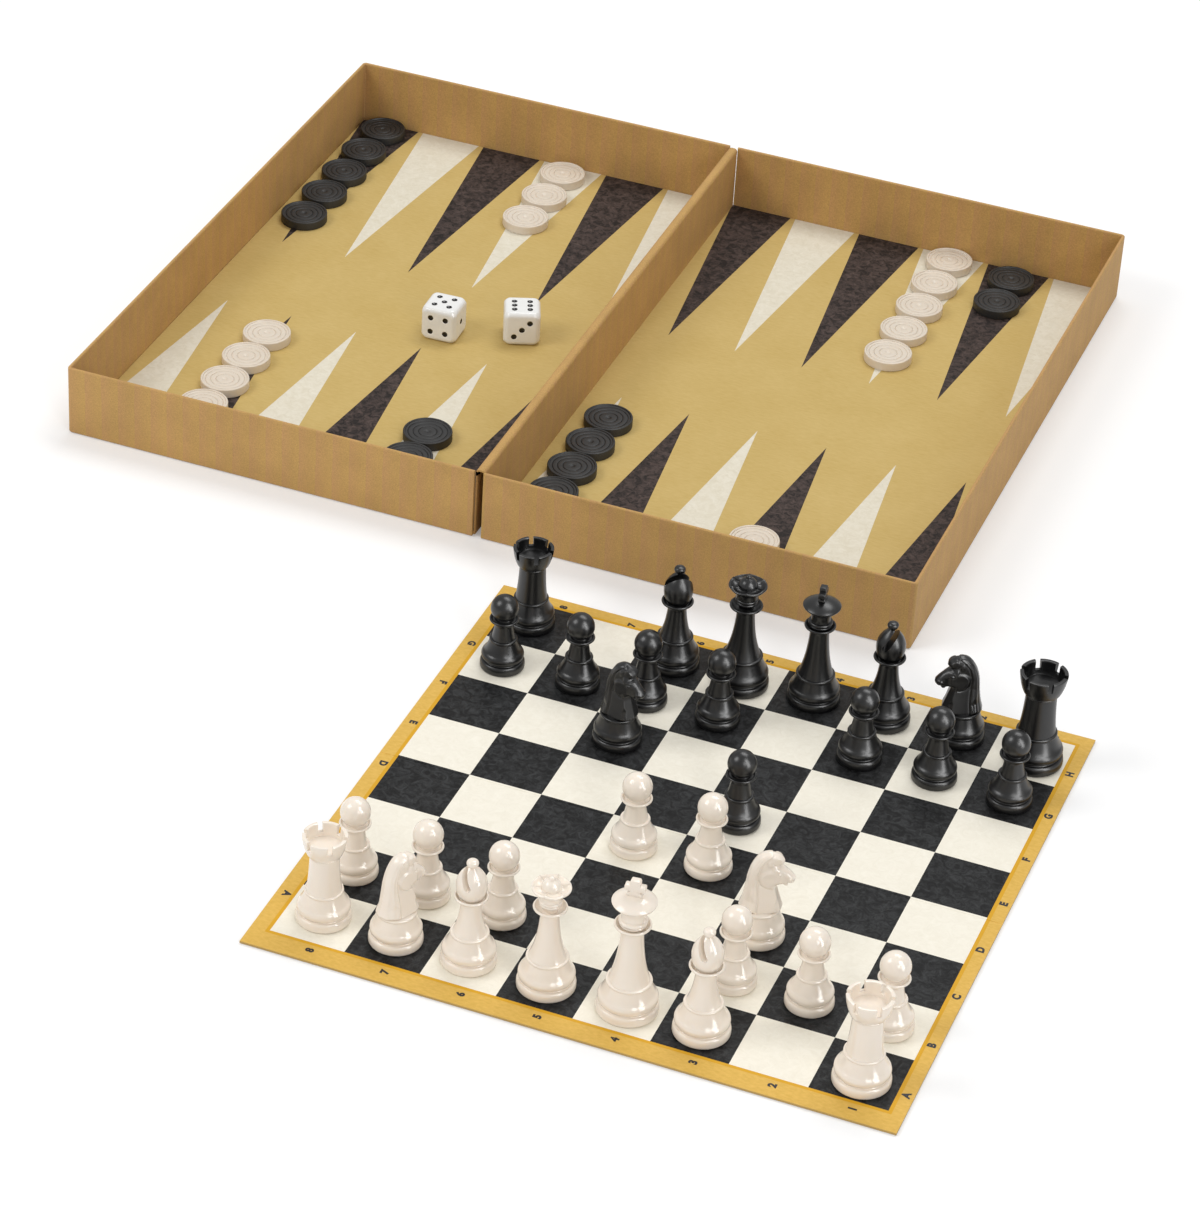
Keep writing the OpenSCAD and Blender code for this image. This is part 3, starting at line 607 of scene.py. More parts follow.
def rook_form():
    top, rim, waist, rim_t, notch_h, notch_w, notches = 39.5, 8.8, 5.7, 1.5, 3.8, 2.0, 6
    ledge, floor_z = top - 8.6, top - notch_h - 1.6
    bm = turned(
        base(10.9, 7.6)
        + bend((6.9, ring_z + ring_t / 2), (waist + 0.3, ring_z + 6), (waist, ledge - 0.9), 16)
        + bend((waist + 0.1, ledge - 0.8), (waist + 0.55, ledge - 0.75), (waist + 0.55, ledge - 0.2), 5)
        + bend((waist + 0.45, ledge - 0.05), (waist + 0.7, ledge + 0.1), (waist + 1.1, ledge + 0.5), 4)
        + bend((waist + 1.2, ledge + 0.6), (rim - 0.5, top - notch_h - 1.2), (rim, top - 0.5), 14)
        + bend((rim, top - 0.35), (rim, top), (rim - 0.35, top), 3)
        + bend((rim - rim_t + 0.3, top), (rim - rim_t, top), (rim - rim_t - 0.05, top - 0.35), 3)
        + bend((rim - rim_t - 0.1, top - 0.6), (rim - rim_t - 0.3, floor_z + 1), (rim - rim_t - 0.9, floor_z))
        + [(3, floor_z - 0.15), (0, floor_z - 0.2)], 96
    )
    wide = [(-2.75, 0), (2.75, 0), (2.75, 5), (-2.75, 5)]
    bars = []
    for i in range(notches):
        turn = Matrix.Rotation(2 * math.pi * i / notches, 4, "Z")
        bars.append((wide, notch_w, turn @ Matrix.Translation((rim - 0.3, 0, top - notch_h))))
    return cut(bm, bars)


def bishop_form():
    z, mitre, wide_z, top, button, slot, lean = 30.6, 5.9, 36, 44.2, 2.3, 2.2, 33
    bm = turned(
        base(10.8, 7.4) + stem(7.4, 3.8, z - 3.4) + collar(3.8, 6.5, z, 3.9)
        + bend((4, z - 0.6), (mitre, z + 1.6), (mitre, wide_z), 18)
        + bend((mitre, wide_z + 0.2), (mitre - 0.1, top - 3.6), (1.2, top), 24)
        + bend((1.2, top + 0.1), (button, top + 0.4), (button, top + 1.4), 8)
        + bend((button, top + 1.6), (button, top + 2.8), (0.6, top + 3), 8)
        + bend((0.5, top + 3.05), (0.3, top + 3.3), (0, top + 3.3), 4)
    )
    outline = arc((0, 0), slot / 2, 180, 360, 12) + [(slot / 2, 18), (-slot / 2, 18)]
    place = Matrix.Translation((-2, 0, 37.4)) @ Matrix.Rotation(math.radians(lean), 4, "Y")
    return cut(bm, [(outline, 24, place)])


print("cutting by Boolean, with the exact solver")

# %% [markdown]
# ## A skin over a solid that is only a rule
# The knight's head isn't turned, and cutting it from a block would take many
# steps. It is easier to say, for any point in space, how far inside the horse it
# is, and then to lay a skin where that changes sign. Blender's metaballs do this
# for round blobs. This small surface net does it for any rule: in every cell that
# the surface crosses it puts one point, at the mean of the crossings on the
# cell's edges, and joins neighbours with four-sided faces.

# %% Surface net
def skin(field, low, high, step):
    """bmesh of the surface where field(x, y, z) is 0; the field is negative inside."""
    axes = [np.arange(a, b + step, step) for a, b in zip(low, high)]
    value = field(*np.meshgrid(*axes, indexing="ij"))
    n = np.array(value.shape)
    total, count = np.zeros((*(n - 1), 3)), np.zeros(n - 1)
    corner = np.stack(np.meshgrid(*[np.arange(k - 1) for k in n], indexing="ij"), -1).astype(float)
    for axis in range(3):
        u, v = (axis + 1) % 3, (axis + 2) % 3
        for du in (0, 1):
            for dv in (0, 1):
                start = [0, 0, 0]
                start[u], start[v] = du, dv
                a = value[tuple(slice(s, s + k - 1) for s, k in zip(start, n))]
                start[axis] = 1
                b = value[tuple(slice(s, s + k - 1) for s, k in zip(start, n))]
                crossed = (a < 0) != (b < 0)
                share = np.where(crossed, a / np.where(a == b, 1, a - b), 0)
                spot = corner.copy()
                spot[..., axis] += share
                spot[..., u] += du
                spot[..., v] += dv
                total += np.where(crossed[..., None], spot, 0)
                count += crossed
    used = count > 0
    number = np.full(used.shape, -1)
    number[used] = np.arange(used.sum())
    points = total[used] / count[used][:, None] * step + np.array([a[0] for a in axes])
    faces = []
    for axis in range(3):
        u, v = (axis + 1) % 3, (axis + 2) % 3
        inner = [slice(1, k - 1) for k in n]
        inner[axis] = slice(0, n[axis] - 1)
        ahead = list(inner)
        ahead[axis] = slice(1, n[axis])
        a, b = value[tuple(inner)], value[tuple(ahead)]
        for spot in np.argwhere((a < 0) != (b < 0)):
            cell = spot.copy()
            cell[u] += 1
            cell[v] += 1
            ring = []
            for du, dv in ((0, 0), (1, 0), (1, 1), (0, 1)):
                c = cell.copy()
                c[u] -= du
                c[v] -= dv
                ring.append(int(number[tuple(c)]))
            faces.append(ring if a[tuple(spot)] < 0 else ring[::-1])
    bm = bmesh.new()
    verts = [bm.verts.new(p) for p in points]
    for ring in faces:
        bm.faces.new([verts[i] for i in ring])
    return bm


ball = skin(lambda x, y, z: np.sqrt(x * x + y * y + z * z) - 3, (-4, -4, -4), (4, 4, 4), 0.5)
print("a ball of 3 mm skinned at 0.5 mm has", len(ball.faces), "faces")
ball.free()

# %% [markdown]
# ## The knight
# Such a knight is moulded in two halves, and each half is a relief: a side
# outline, and a height over it that is low at the edge and swells to the cheek.
# So the rule is the distance from the middle plane less that height. On the
# relief lie the round jaw, the eye under its brow, the nostril and the mouth,
# the ears, the rolled forelock, and the mane with its grooves down the back.

# %% Knight
def smooth_closed(points, steps=5):
    """A smooth closed line through the points, by Catmull and Rom's rule."""
    line, n = [], len(points)
    for i in range(n):
        a, b, c, d = (np.array(points[(i + k) % n], float) for k in (-1, 0, 1, 2))
        for j in range(steps):
            t = j / steps
            square_part = (2 * a - 5 * b + 4 * c - d) * t * t
            cube_part = (3 * b - a - 3 * c + d) * t ** 3
            line.append(0.5 * (2 * b + (c - a) * t + square_part + cube_part))
    return np.array(line)


def line_distance(x, z, line, closed=False):
    """Distance from every (x, z) to a line, and whether it is inside a closed one."""
    ends = np.roll(line, -1, 0) if closed else line[1:]
    best, inside = np.full(x.shape, 1e9), np.zeros(x.shape, bool)
    for (ax, az), (bx, bz) in zip(line, ends):
        dx, dz = bx - ax, bz - az
        t = np.clip(((x - ax) * dx + (z - az) * dz) / max(dx * dx + dz * dz, 1e-12), 0, 1)
        best = np.minimum(best, np.hypot(x - ax - t * dx, z - az - t * dz))
        if closed and az != bz:
            inside ^= ((az > z) != (bz > z)) & (x < ax + (z - az) * dx / dz)
    return best, inside


def ease(share):
    """0 below 0, 1 above 1, and smooth between."""
    t = np.clip(share, 0, 1)
    return t * t * (3 - 2 * t)


def hump(distance, radius):
    """1 at distance 0, falling smoothly to 0 at the radius."""
    return ease(1 - distance / radius)


horse_side = [
    (5.8, -1.2), (7.5, 0.1), (8.2, 1), (7.9, 2.2), (7, 5.2), (6, 8.6), (5.4, 10.8), (5.6, 11.8), (7.2, 12.1),
    (8.3, 11.5), (9.5, 11.5), (9.6, 12.7), (11.3, 13), (12.1, 14.9), (10.6, 17.3), (7.9, 19.9), (6.1, 21.1),
    (7.6, 22.7), (6.7, 24.9), (4, 26.4), (1.4, 26.7), (-1.6, 25.2), (-4.1, 21.2), (-5.6, 16.2), (-6.2, 10.6),
    (-7.1, 4.8), (-7.9, 1.8), (-8.1, 0.7), (-7.4, -0.2), (-5.8, -1.2),
]
horse_line = smooth_closed(horse_side)
# the flat underside isn't an edge that the relief falls to
horse_edge = horse_line[8:-8]


def horse_field(x, y, z):
    px, pz = x[:, 0, :], z[:, 0, :]
    away, inside = line_distance(px, pz, horse_line, True)
    edge, _ = line_distance(px, pz, horse_edge)
    # how far the flanks may stand out: wide shoulders, slim neck, slimmer muzzle
    wide = np.interp(pz, [-2, 1, 4, 8, 12, 16, 20, 24, 27], [5.7, 5.6, 4.9, 4.0, 3.2, 2.9, 2.8, 2.5, 1.9])
    jaw = np.hypot(px - 2.7, pz - 15.4)
    face = ease((px - 2.7) / 1.5) * ease((pz - 11.6) / 1.2) * ease((22 - pz) / 2)
    wide = wide + 0.65 * np.maximum(ease((4.6 - jaw) / 1.4), face)
    from_back = np.interp(
        px, [-9, -6.5, -3.5, 0, 4, 6, 7.4, 8.8, 10.4, 12.2],
        [2.0, 2.9, 4.2, 5.5, 5.5, 3.6, 2.8, 2.4, 2.6, 1.9])
    wide = np.minimum(wide, from_back + np.clip(5 - pz, 0, 6) * 0.4)
    # the chest has a flat front with a crisp edge, and the back is round
    chest = ease(px / 4) * ease((12.5 - pz) / 2)
    t = np.clip(edge / (wide * (0.8 - 0.5 * chest) + 0.15), 0, 1)
    power = 2 + 1.5 * chest
    height = wide * (1 - (1 - t) ** power) ** (1 / power)
    height -= 0.2 * hump(abs(jaw - 4.5), 0.5) * (px < 3.4) * (pz < 15)
    # eye under its brow, nostril and mouth
    eye = np.hypot(px - 6.1, (pz - 18.3) * 1.3)
    height += 0.35 * hump(eye, 0.8) - 0.2 * hump(abs(eye - 1.05), 0.4)
    height += 0.3 * hump(np.hypot((px - 5.8) * 0.7, pz - 19.5), 0.9)
    nostril = np.hypot(px - 10.7, pz - 14.5)
    height += 0.35 * hump(abs(nostril - 0.9), 0.7) - 0.4 * hump(nostril, 0.6)
    mouth, _ = line_distance(px, pz, np.array([(8.4, 12.7), (9.6, 13.0), (11.6, 13.3)]))
    height -= 0.45 * hump(mouth, 0.4)
    # rolled forelock, and the ear behind it
    lock = np.hypot(px - 5.2, (pz - 23.9) * 1.05)
    roll = 2.6 * np.sqrt(np.clip(1 - (lock / 2.3) ** 6, 0, 1))
    height = np.where(lock < 2.3, np.maximum(height, roll), height)
    height -= 0.3 * hump(abs(lock - 2.4), 0.4) * (px < 5.8) * ease((24 - pz) / 1.5)
    ear = np.hypot((px - 2.1) * 1.25, (pz - 22.6) * 0.85)
    height += 0.45 * hump(ear, 1.6) - 0.2 * hump(ear, 0.7)
    # the mane lies over the neck in long strands
    border = np.interp(pz, [-2, 2, 7, 12, 17, 21.5, 24.5, 26], [-1.9, -1.9, -1.7, -2.0, -2.2, -1.0, 1.2, 3.2])
    height += 0.5 * ease((border - px) / 0.7 + 0.5)
    height -= 0.3 * hump(abs(px - border), 0.6)
    back = np.interp(
        pz, [-2, 0.7, 4.8, 10.6, 16.2, 21.2, 25.2, 26.7], [-8.1, -8.1, -7.1, -6.2, -5.6, -4.1, -1.6, 1.4])
    for shift in (0.36, 0.7):
        strand = border + shift * (back - border)
        height -= 0.2 * hump(abs(px - strand), 0.6)
    height = np.minimum(height, 4 * edge + 0.3)
    side = np.where(inside, height, -away)[:, None, :]
    side = np.maximum(side, -4)
    # underneath, the body draws in to the ring
    under = 0.95 * (np.hypot(0.8 * x, 1.1 * y) - 4.6) - 1.2 - z
    return np.maximum(abs(y) - side, np.maximum(under, -0.6 - z))


def knight_form():
    lid = ring_z + ring_t / 2 + 0.1
    head = skin(horse_field, (-9.2, -7, -1.6), (13.2, 7, 28), 0.25)
    bmesh.ops.smooth_vert(
        head, verts=head.verts, factor=0.3, use_axis_x=True, use_axis_y=True, use_axis_z=True)
    bmesh.ops.scale(head, verts=head.verts, vec=(1, 1, 25 / 26.7))
    bmesh.ops.translate(head, verts=head.verts, vec=(0, 0, 14))
    return join(turned(base(10.3, 7.6) + [(6.4, lid), (0, lid)]), head)


print("the horse's outline has", len(horse_line), "points")

# %% [markdown]
# ## Standing the men up
# Each form is made once and then copied, turned and put where the measured model
# has that man. The place and the size are read from the lowest millimetres of its
# solid, which are the round foot, because a knight's head reaches out further to
# one side. In the photograph the men of one kind differ a little in size, and the
# measured model follows that. The men were put down by hand, so the turns differ,
# and they are written here as they are in the part's source.

# %% Men
forms = {
    "pawn": pawn_form, "king": king_form, "queen": queen_form,
    "rook": rook_form, "bishop": bishop_form, "knight": knight_form,
}
foot_radius = {"pawn": 9.3, "king": 11.7, "queen": 11.1, "rook": 10.9, "bishop": 10.8, "knight": 10.3}
turns = {
    "white_rook_1": 8, "white_rook_2": 10, "white_knight_1": 60, "white_knight_2": 22,
    "white_bishop_1": 165, "white_bishop_2": 165, "white_king": 6,
    "black_rook_2": 3, "black_knight_1": -18, "black_knight_2": 208,
    "black_bishop_1": -55, "black_bishop_2": 12, "black_queen": 15, "black_king": 96,
}


def foot_place(node):
    """Middle of a man's foot, and the foot's radius."""
    points = [v.co for v in frame["nodes"][node].data.vertices]
    low = min(p.z for p in points)
    foot = [p for p in points if p.z < low + 3 * MM]
    xs, ys = [p.x for p in foot], [p.y for p in foot]
    return Vector(((min(xs) + max(xs)) / 2, (min(ys) + max(ys)) / 2, low)), (max(xs) - min(xs)) / 2


def to_piece(name, bm, material, angle=32):
    mesh = bpy.data.meshes.new(name)
    bm.to_mesh(mesh)
    mesh.shade_smooth()
    mesh.set_sharp_from_angle(angle=math.radians(angle))
    piece = bpy.data.objects.new(name, mesh)
    bpy.context.scene.collection.objects.link(piece)
    mesh.materials.append(material)
    return piece


body_of = {node: body for body, nodes in frame["record"]["behaviour"]["bodies"].items() for node in nodes}
ready = {}
for kind, form in forms.items():
    ready[kind] = form()
    bmesh.ops.triangulate(ready[kind], faces=[f for f in ready[kind].faces if len(f.verts) > 4])
    print(kind, "has", len(ready[kind].faces), "faces")

men = 0
for node in frame["nodes"]:
    colour, _, rest = node.partition("_")
    kind = rest.split("_")[0]
    if colour not in ("white", "black") or kind not in ready:
        continue
    bm = ready[kind].copy()
    place, radius = foot_place(node)
    size = radius / foot_radius[kind]
    turn = Matrix.Rotation(math.radians(turns.get(node, 0)), 4, "Z")
    matrix = Matrix.Translation(place) @ turn @ Matrix.Scale(size, 4)
    bmesh.ops.transform(bm, matrix=matrix, verts=bm.verts)
    man = to_piece("turned_" + node, bm, ivory_men if colour == "white" else black_men)
    bm.free()
    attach(man, body_of[node])
    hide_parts(node)
    men += 1
print(men, "men on the board")

# %% [markdown]
# ## The draughts
# A draught is a flat disc with a raised rim and three turned grooves round a
# small pit, the same on both faces. They lie in rows, one behind the other, on
# the points. A row is exactly what Geometry Nodes are for: one disc comes in, and
# the tree lays copies of it along a line. The count, the first place and the
# step are named inputs, so one tree serves all eight rows.

# %% One draught
draught_r, draught_h, rim_w, dish, groove_t = 10.8, 4.3, 0.9, 0.5, 0.35
draught_pitch = 22.7


def groove(r, z):
    return (
        bend((r + 0.4, z), (r + 0.12, z), (r + 0.06, z - groove_t), 3)
        + bend((r - 0.06, z - groove_t), (r - 0.12, z), (r - 0.4, z), 3)
    )


def draught_form():
    r, top = draught_r, draught_h / 2
    face = top - dish
    half = (
        [(r, 0)] + arc((r - 0.45, top - 0.45), 0.45, 0, 90, 6)
        + bend((r - rim_w + 0.15, top), (r - rim_w, top), (r - rim_w - 0.1, face + 0.15), 4)
        + bend((r - rim_w - 0.12, face + 0.1), (r - rim_w - 0.15, face), (r - rim_w - 0.4, face), 3)
        + groove(0.8 * r, face) + groove(0.59 * r, face) + groove(0.37 * r, face)
        + bend((0.16 * r, face), (0.12 * r, face), (0.08 * r, face - 0.35), 4) + [(0, face - 0.4)]
    )
    under = [(x, -z) for x, z in reversed(half)]
    return turned(under + half[1:], 72)


one = draught_form()
print("one draught has", len(one.faces), "faces")

# %% Row of draughts
rows = bpy.data.node_groups.new("row of draughts", "GeometryNodeTree")
kinds = {"Draught": "Geometry", "Count": "Int", "First": "Vector", "Step": "Vector", "Plastic": "Material"}
inputs = {}
for name, kind in kinds.items():
    inputs[name] = rows.interface.new_socket(name, in_out="INPUT", socket_type="NodeSocket" + kind)
rows.interface.new_socket("Row", in_out="OUTPUT", socket_type="NodeSocketGeometry")
given = add(rows, "NodeGroupInput")
line = add(rows, "GeometryNodeMeshLine", {
    "Count": given.outputs["Count"], "Start Location": given.outputs["First"],
    "Offset": given.outputs["Step"]})
twist = add(rows, "FunctionNodeRandomValue", {"Seed": 7}, data_type="FLOAT_VECTOR")
for end, turn in (("Min", 0.0), ("Max", 6.28)):
    next(s for s in twist.inputs if s.enabled and s.name == end).default_value = (0, 0, turn)
spread = add(rows, "GeometryNodeInstanceOnPoints", {
    "Points": line, "Instance": given.outputs["Draught"], "Rotation": twist})
real = add(rows, "GeometryNodeRealizeInstances", [spread])
dressed = add(rows, "GeometryNodeSetMaterial", {"Geometry": real, "Material": given.outputs["Plastic"]})
add(rows, "NodeGroupOutput", [dressed])

laid = 0
for node in [n for n in frame["nodes"] if n.startswith("draughts_")]:
    low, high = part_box(node)
    span = high.y - low.y - 2 * draught_r * MM
    count = round(span / (draught_pitch * MM)) + 1
    step = span / max(count - 1, 1)
    mesh = bpy.data.meshes.new("draught")
    small = one.copy()
    bmesh.ops.scale(small, vec=(MM, MM, MM), verts=small.verts)
    small.to_mesh(mesh)
    small.free()
    source = bpy.data.objects.new("draught", mesh)
    bpy.context.scene.collection.objects.link(source)
    modifier = source.modifiers.new("row", "NODES")
    modifier.node_group = rows
    plastic = ivory_discs if node.endswith("white") else black_discs
    first = ((low.x + high.x) / 2, low.y + draught_r * MM, (low.z + high.z) / 2)
    settings = {"Count": count, "First": first, "Step": (0, step, 0), "Plastic": plastic}
    for name, value in settings.items():
        modifier[inputs[name].identifier] = value
    bpy.context.view_layer.update()
    plain = bpy.data.meshes.new_from_object(source.evaluated_get(bpy.context.evaluated_depsgraph_get()))
    bpy.data.objects.remove(source)
    bpy.data.meshes.remove(mesh)
    plain.shade_smooth()
    plain.set_sharp_from_angle(angle=math.radians(40))
    row_piece = bpy.data.objects.new("turned_" + node, plain)
    bpy.context.scene.collection.objects.link(row_piece)
    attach(row_piece, body_of[node])
    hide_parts(node)
    laid += count
print(laid, "draughts laid in rows")

# %% [markdown]
# ## The dice
# A die is a cube whose edges are rounded and whose corners are cut by a ball. A
# fine grid on each face is pulled to that shape point by point, and the pips are
# pressed in the same way, as shallow bowls. Each point also keeps its distance to
# the nearest pip, and the finish paints black where that is small: the edge of
# the paint comes out round however coarse the grid is. The dice are a cooler
# white than the men, of polished acrylic with an IOR of 1.49.

# %% Dice
die_a, die_r, die_ball, pip_d, pip_t, pip_off = 16.5, 2.2, 24.6, 2.6, 0.6, 3.5
middle, two, other_two, sides = [(0, 0)], [(-1, -1), (1, 1)], [(-1, 1), (1, -1)], [(-1, 0), (1, 0)]
pip_places = {
    1: middle, 2: two, 3: middle + two,
    4: two + other_two, 5: middle + two + other_two, 6: two + other_two + sides,
}

die_plastic, tree = new_finish("white acrylic with painted pips")
place = add(tree, "ShaderNodeTexCoord")
near = add(tree, "ShaderNodeAttribute", attribute_name="pip")
painted = add(tree, "ShaderNodeMath", [near.outputs["Fac"], pip_d / 2 + 0.02], operation="LESS_THAN")
flow = add(tree, "ShaderNodeTexNoise", {
    "Vector": place.outputs["Object"], "Scale": 1 / (6 * MM), "Detail": 3})
white = add(tree, "ShaderNodeMix", [flow, srgb("E2E2DF"), srgb("EDEDEB")], data_type="RGBA")
colour = add(tree, "ShaderNodeMix", [painted, white, srgb("121212")], data_type="RGBA")
shader = add(tree, "ShaderNodeBsdfPrincipled", {"Base Color": colour, "Roughness": 0.16, "IOR": 1.49})
finish_with(tree, shader)


def die_form(faces):
    cells = 44
    half, inner = die_a / 2, die_a / 2 - die_r
    # the ball cuts the corners over this last stretch and not at once
    eased = 0.6
    free_reach = die_ball / 2 - eased
    # up, front and right, and then the opposite faces, which make seven with them
    turns = [
        (Matrix.Identity(3), faces[0]),
        (Matrix.Rotation(math.pi / 2, 3, "X"), faces[1]),
        (Matrix.Rotation(math.pi / 2, 3, "Y"), faces[2]),
        (Matrix.Rotation(math.pi, 3, "X"), 7 - faces[0]),
        (Matrix.Rotation(-math.pi / 2, 3, "X"), 7 - faces[1]),
        (Matrix.Rotation(-math.pi / 2, 3, "Y"), 7 - faces[2]),
    ]
    bm = bmesh.new()
    paint = bm.verts.layers.float.new("pip")
    for turn, number in turns:
        grid = []
        for i in range(cells + 1):
            line = []
            for j in range(cells + 1):
                # points crowd towards the edges, where the shape bends
                u, v = (half * math.sin(math.pi / 2 * (2 * k / cells - 1)) for k in (i, j))
                p = Vector((u, v, half))
                core = Vector([max(-inner, min(inner, c)) for c in p])
                out = p - core
                p = core + out.normalized() * die_r
                reach = p.length
                if reach > free_reach:
                    p *= (free_reach + eased * math.tanh((reach - free_reach) / eased)) / reach
                gap = min(math.dist((u, v), (a * pip_off, b * pip_off)) for a, b in pip_places[number])
                if gap < pip_d / 2:
                    p.z -= pip_t * (1 - (gap / (pip_d / 2)) ** 2)
                vert = bm.verts.new(turn @ p)
                vert[paint] = gap
                line.append(vert)
            grid.append(line)
        for i in range(cells):
            for j in range(cells):
                bm.faces.new((grid[i][j], grid[i + 1][j], grid[i + 1][j + 1], grid[i][j + 1]))
    bmesh.ops.remove_doubles(bm, verts=bm.verts, dist=0.004)
    bmesh.ops.recalc_face_normals(bm, faces=bm.faces)
    return bm


for node, faces, turn in (("die_near_fold_left", (5, 4, 1), 2.4), ("die_near_fold_right", (6, 3, 5), 22.6)):
    low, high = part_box(node)
    bm = die_form(faces)
    turn = Matrix.Rotation(math.radians(turn), 4, "Z")
    matrix = Matrix.Translation((low + high) / 2) @ turn @ Matrix.Scale(MM, 4)
    bmesh.ops.transform(bm, matrix=matrix, verts=bm.verts)
    die = to_piece("rounded_" + node, bm, die_plastic, 40)
    bm.free()
    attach(die, body_of[node])
    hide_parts(node)
    print(node, "shows", faces[0], "on top")

# %% [markdown]
# ## The fold of the box
# Between the trays the board is creased twice and runs over the two middle walls
# as a narrow rounded arch. When the box closes it is the only part that bends: its
# right leg stays with the right tray, its left leg goes with the left one, and the
# top turns by a share of the angle. Here it is one strip with the arch as its
# section, thick as the creased paper, fixed where it lies with the box open.

# %% Arch over the middle walls
arch_low, arch_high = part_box("spine_strip")
outer = [(2.15, 29.2), (2.15, 30)] + arc((0.55, 30.75), 1.6, 0, 90, 8)
inner = [(1.3, 29.2), (1.3, 30)] + arc((0.5, 30.75), 0.8, 0, 90, 8)
outer = outer + [(-x, z) for x, z in reversed(outer)]
inner = inner + [(-x, z) for x, z in reversed(inner)]
section = outer + inner[::-1]
bm = bmesh.new()
rings = []
for y in np.linspace(arch_low.y, arch_high.y, 60):
    rings.append([bm.verts.new((fold_x + x * MM, y, z * MM)) for x, z in section])
n = len(section)
for a, b in zip(rings, rings[1:]):
    for k in range(n):
        bm.faces.new((a[k], a[(k + 1) % n], b[(k + 1) % n], b[k]))
bm.faces.new(rings[0])
bm.faces.new(rings[-1])
bmesh.ops.recalc_face_normals(bm, faces=bm.faces)
bmesh.ops.triangulate(bm, faces=[f for f in bm.faces if len(f.verts) > 4])
arch = to_piece("arch_over_the_fold", bm, kraft, 35)
bm.free()
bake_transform(arch)
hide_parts("spine_strip")
print("the arch is 4.3 mm wide over the two middle walls")

# %% [markdown]
# ## Letters and figures
# Along the border of the chess board run small letters and figures. They are ink,
# so they are cut from text as flat shapes and laid a hair above the paper. Text
# is turned into a mesh before it is put in its place, and everything on one leaf
# becomes one piece that rides with that leaf. The print isn't centred on the
# squares: each side's row is shifted along it by a few millimetres.

# %% Letters and figures
ink, tree = new_finish("printing ink, black")
place = add(tree, "ShaderNodeTexCoord")
worn = add(tree, "ShaderNodeTexNoise", {
    "Vector": place.outputs["Object"], "Scale": 1 / (0.6 * MM), "Detail": 2})
colour = add(tree, "ShaderNodeMix", [worn, srgb("0B0B12"), srgb("1A1A22")], data_type="RGBA")
shader = add(tree, "ShaderNodeBsdfPrincipled", {"Base Color": colour, "Roughness": 0.5, "IOR": 1.5})
finish_with(tree, shader)


ink_t = 0.03 * MM
sign_h = 3.0
# a capital is this much lower than the size that the text is given
capital_share = 1.4


def sign(bm, text, x, y, turn):
    curve = bpy.data.curves.new("sign", "FONT")
    curve.body, curve.align_x, curve.align_y = text, "CENTER", "CENTER"
    curve.size = sign_h * MM * capital_share
    curve.resolution_u = 3
    curve.offset = 0.25 * MM
    obj = bpy.data.objects.new("sign", curve)
    bpy.context.scene.collection.objects.link(obj)
    bpy.context.view_layer.update()
    mesh = bpy.data.meshes.new_from_object(obj.evaluated_get(bpy.context.evaluated_depsgraph_get()))
    place = Matrix.Translation((x, y, board_top + ink_t))
    mesh.transform(place @ Matrix.Rotation(math.radians(turn), 4, "Z"))
    bm.from_mesh(mesh)
    bpy.data.objects.remove(obj)
    bpy.data.curves.remove(curve)
    bpy.data.meshes.remove(mesh)


# how far each row is in from its edge, and how far it is shifted along it
front_in, front_shift = 6.0 * MM, 3.2 * MM
back_in, back_shift = 4.6 * MM, 6.0 * MM
right_out, right_shift = 3.4 * MM, -4.5 * MM
left_in, left_shift = 4.0 * MM, 7.5 * MM
signs = []
for i in range(8):
    centre_x = squares_x + (i + 0.5) * square
    centre_y = squares_y + (i + 0.5) * square
    signs.append((str(8 - i), centre_x + front_shift, leaf_low.y + front_in, 90))
    signs.append((str(8 - i), centre_x + back_shift, back_high.y - back_in, 90))
    signs.append(("ABCDEFGH"[i], squares_x + 8 * square + right_out, centre_y + right_shift, 90))
    signs.append(("ABCDEFGH"[i], leaf_low.x + left_in, centre_y + left_shift, -90))
for leaf in ("board_front_leaf", "board_back_leaf"):
    bm = bmesh.new()
    for text, x, y, turn in signs:
        if (y < crease_y) == (leaf == "board_front_leaf"):
            sign(bm, text, x, y, turn)
    piece = to_piece("signs_" + leaf, bm, ink)
    bm.free()
    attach(piece, body_of[leaf])
print(len(signs), "letters and figures")

# %% [markdown]
# ## Dressing the measured pieces
# The trays, their sheets and the leaves of the board have the right shape in the
# measured model already, so they stay and only get their finish.

# %% Finishes on the measured pieces
dress = {
    "right_tray": kraft, "left_tray": kraft, "spine_strip": kraft,
    "right_sheet": right_print, "left_sheet": left_print,
    "board_front_leaf": chess_print, "board_back_leaf": chess_print, "board_crease": chess_print,
}
spare = {"white": ivory_men, "black": black_men, "die": die_plastic}
for node, obj in frame["nodes"].items():
    if node.startswith("draughts_"):
        finish = ivory_discs if node.endswith("white") else black_discs
    else:
        finish = dress.get(node) or spare[node.split("_")[0]]
    obj.data.materials.clear()
    obj.data.materials.append(finish)
print(len(dress), "measured pieces stay in sight or carry their own finish")

# %% [markdown]
# ## Table, light and background
# The photograph has a pure white ground with only soft grey shadows near the
# things that stand on it, and most of those lie in front: the main light comes
# from above and a little behind. A small part of the floor's white is a glow that
# only the camera and mirror-like surfaces see, so the shadows stay pale, and no
# extra light falls on the object. It grows beyond 0.7 m, where the lamps no longer
# reach, so that the paper stays white to the horizon from any side. The light is a
# bright even room and three soft
# boxes: the broad one above and weaker ones from the upper left and the right.
# The men also mirror a tall window on the right. It is there for the shine alone,
# so it is kept out of the diffuse light and throws no shadow on the paper.

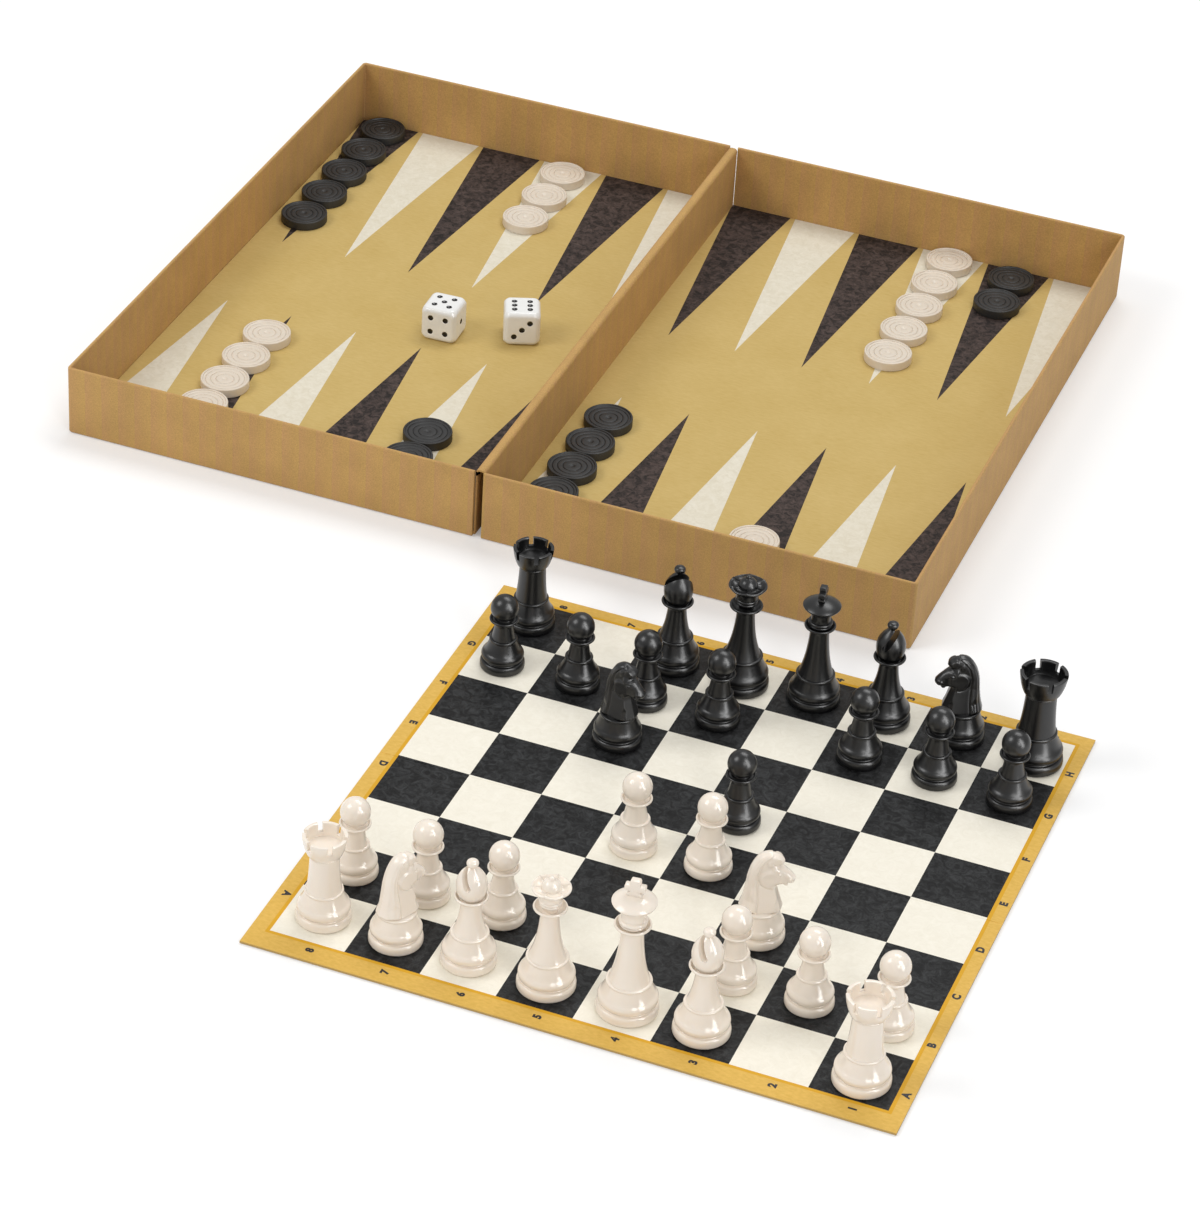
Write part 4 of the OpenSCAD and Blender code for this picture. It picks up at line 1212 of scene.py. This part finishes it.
# %% Floor
floor_mesh = bpy.data.meshes.new("floor")
edge = 6.0
corners = [(-edge, -edge, 0), (edge, -edge, 0), (edge, edge, 0), (-edge, edge, 0)]
floor_mesh.from_pydata(corners, [], [(0, 1, 2, 3)])
floor = bpy.data.objects.new("floor", floor_mesh)
floor.location.z = -0.0003
bpy.context.scene.collection.objects.link(floor)
paper, tree = new_finish("white studio paper")
ray = add(tree, "ShaderNodeLightPath")
seen = ray.outputs["Is Camera Ray"]
for kind in ("Is Glossy Ray", "Is Transmission Ray"):
    seen = add(tree, "ShaderNodeMath", [seen, ray.outputs[kind]], operation="MAXIMUM")
matt = add(tree, "ShaderNodeBsdfDiffuse", {"Color": (0.85, 0.85, 0.85, 1)})
half_matt = add(tree, "ShaderNodeBsdfDiffuse", {"Color": (0.78, 0.78, 0.78, 1)})
place = add(tree, "ShaderNodeTexCoord").outputs["Object"]
away = add(tree, "ShaderNodeVectorMath", [place], operation="LENGTH").outputs["Value"]
strength = add(tree, "ShaderNodeMapRange", [away, 0.7, 2.0, 0.2, 0.6])
glow = add(tree, "ShaderNodeEmission", {"Color": (1, 1, 1, 1), "Strength": strength})
both = add(tree, "ShaderNodeAddShader", [half_matt, glow])
shader = add(tree, "ShaderNodeMixShader", [seen, matt, both])
finish_with(tree, shader)
floor_mesh.materials.append(paper)
floor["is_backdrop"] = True

# %% Light
world = bpy.data.worlds.new("bright room")
bpy.context.scene.world = world
world.use_nodes = True
tree = world.node_tree
tree.nodes.clear()
ray = add(tree, "ShaderNodeLightPath")
room = add(tree, "ShaderNodeBackground", {"Color": (1, 1, 1, 1), "Strength": 0.54})
white = add(tree, "ShaderNodeBackground", {"Color": (1, 1, 1, 1), "Strength": 1.0})
mixed = add(tree, "ShaderNodeMixShader", [ray.outputs["Is Camera Ray"], room, white])
add(tree, "ShaderNodeOutputWorld", [mixed])


def soft_box(name, place, towards, size, watts, shine_only=False):
    light = bpy.data.lights.new(name, "AREA")
    light.shape, light.size, light.size_y, light.energy = "RECTANGLE", size[0], size[1], watts
    obj = bpy.data.objects.new(name, light)
    obj.location = place
    obj.rotation_euler = (Vector(towards) - Vector(place)).to_track_quat("-Z", "Y").to_euler()
    obj.visible_diffuse = not shine_only
    bpy.context.scene.collection.objects.link(obj)


soft_box("upper left box", (-1.1, -0.9, 1.3), (-0.05, -0.15, 0), (0.8, 0.8), 10)
soft_box("right lamp", (0.9, -1.2, 0.8), (0, -0.3, 0.02), (0.4, 0.6), 4)
soft_box("right window", (1.15, -0.7, 0.72), (0, -0.3, 0.02), (0.45, 1.7), 18, shine_only=True)
soft_box("top box", (0.1, 0.6, 1.6), (0, -0.15, 0), (1.2, 0.7), 12)
bpy.context.scene.view_settings.view_transform = "Standard"
print("three soft boxes and a window in a bright room")

# %% [markdown]
# ## Sizes and finish
# The last step compares the dressed object with the measured one.

# %% Sizes and finish
dressed_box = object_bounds()
growth = [round((b - a) / MM, 2) for a, b in zip(measured_box[1], dressed_box[1])]
print("grown by", growth, "mm at the high corner")
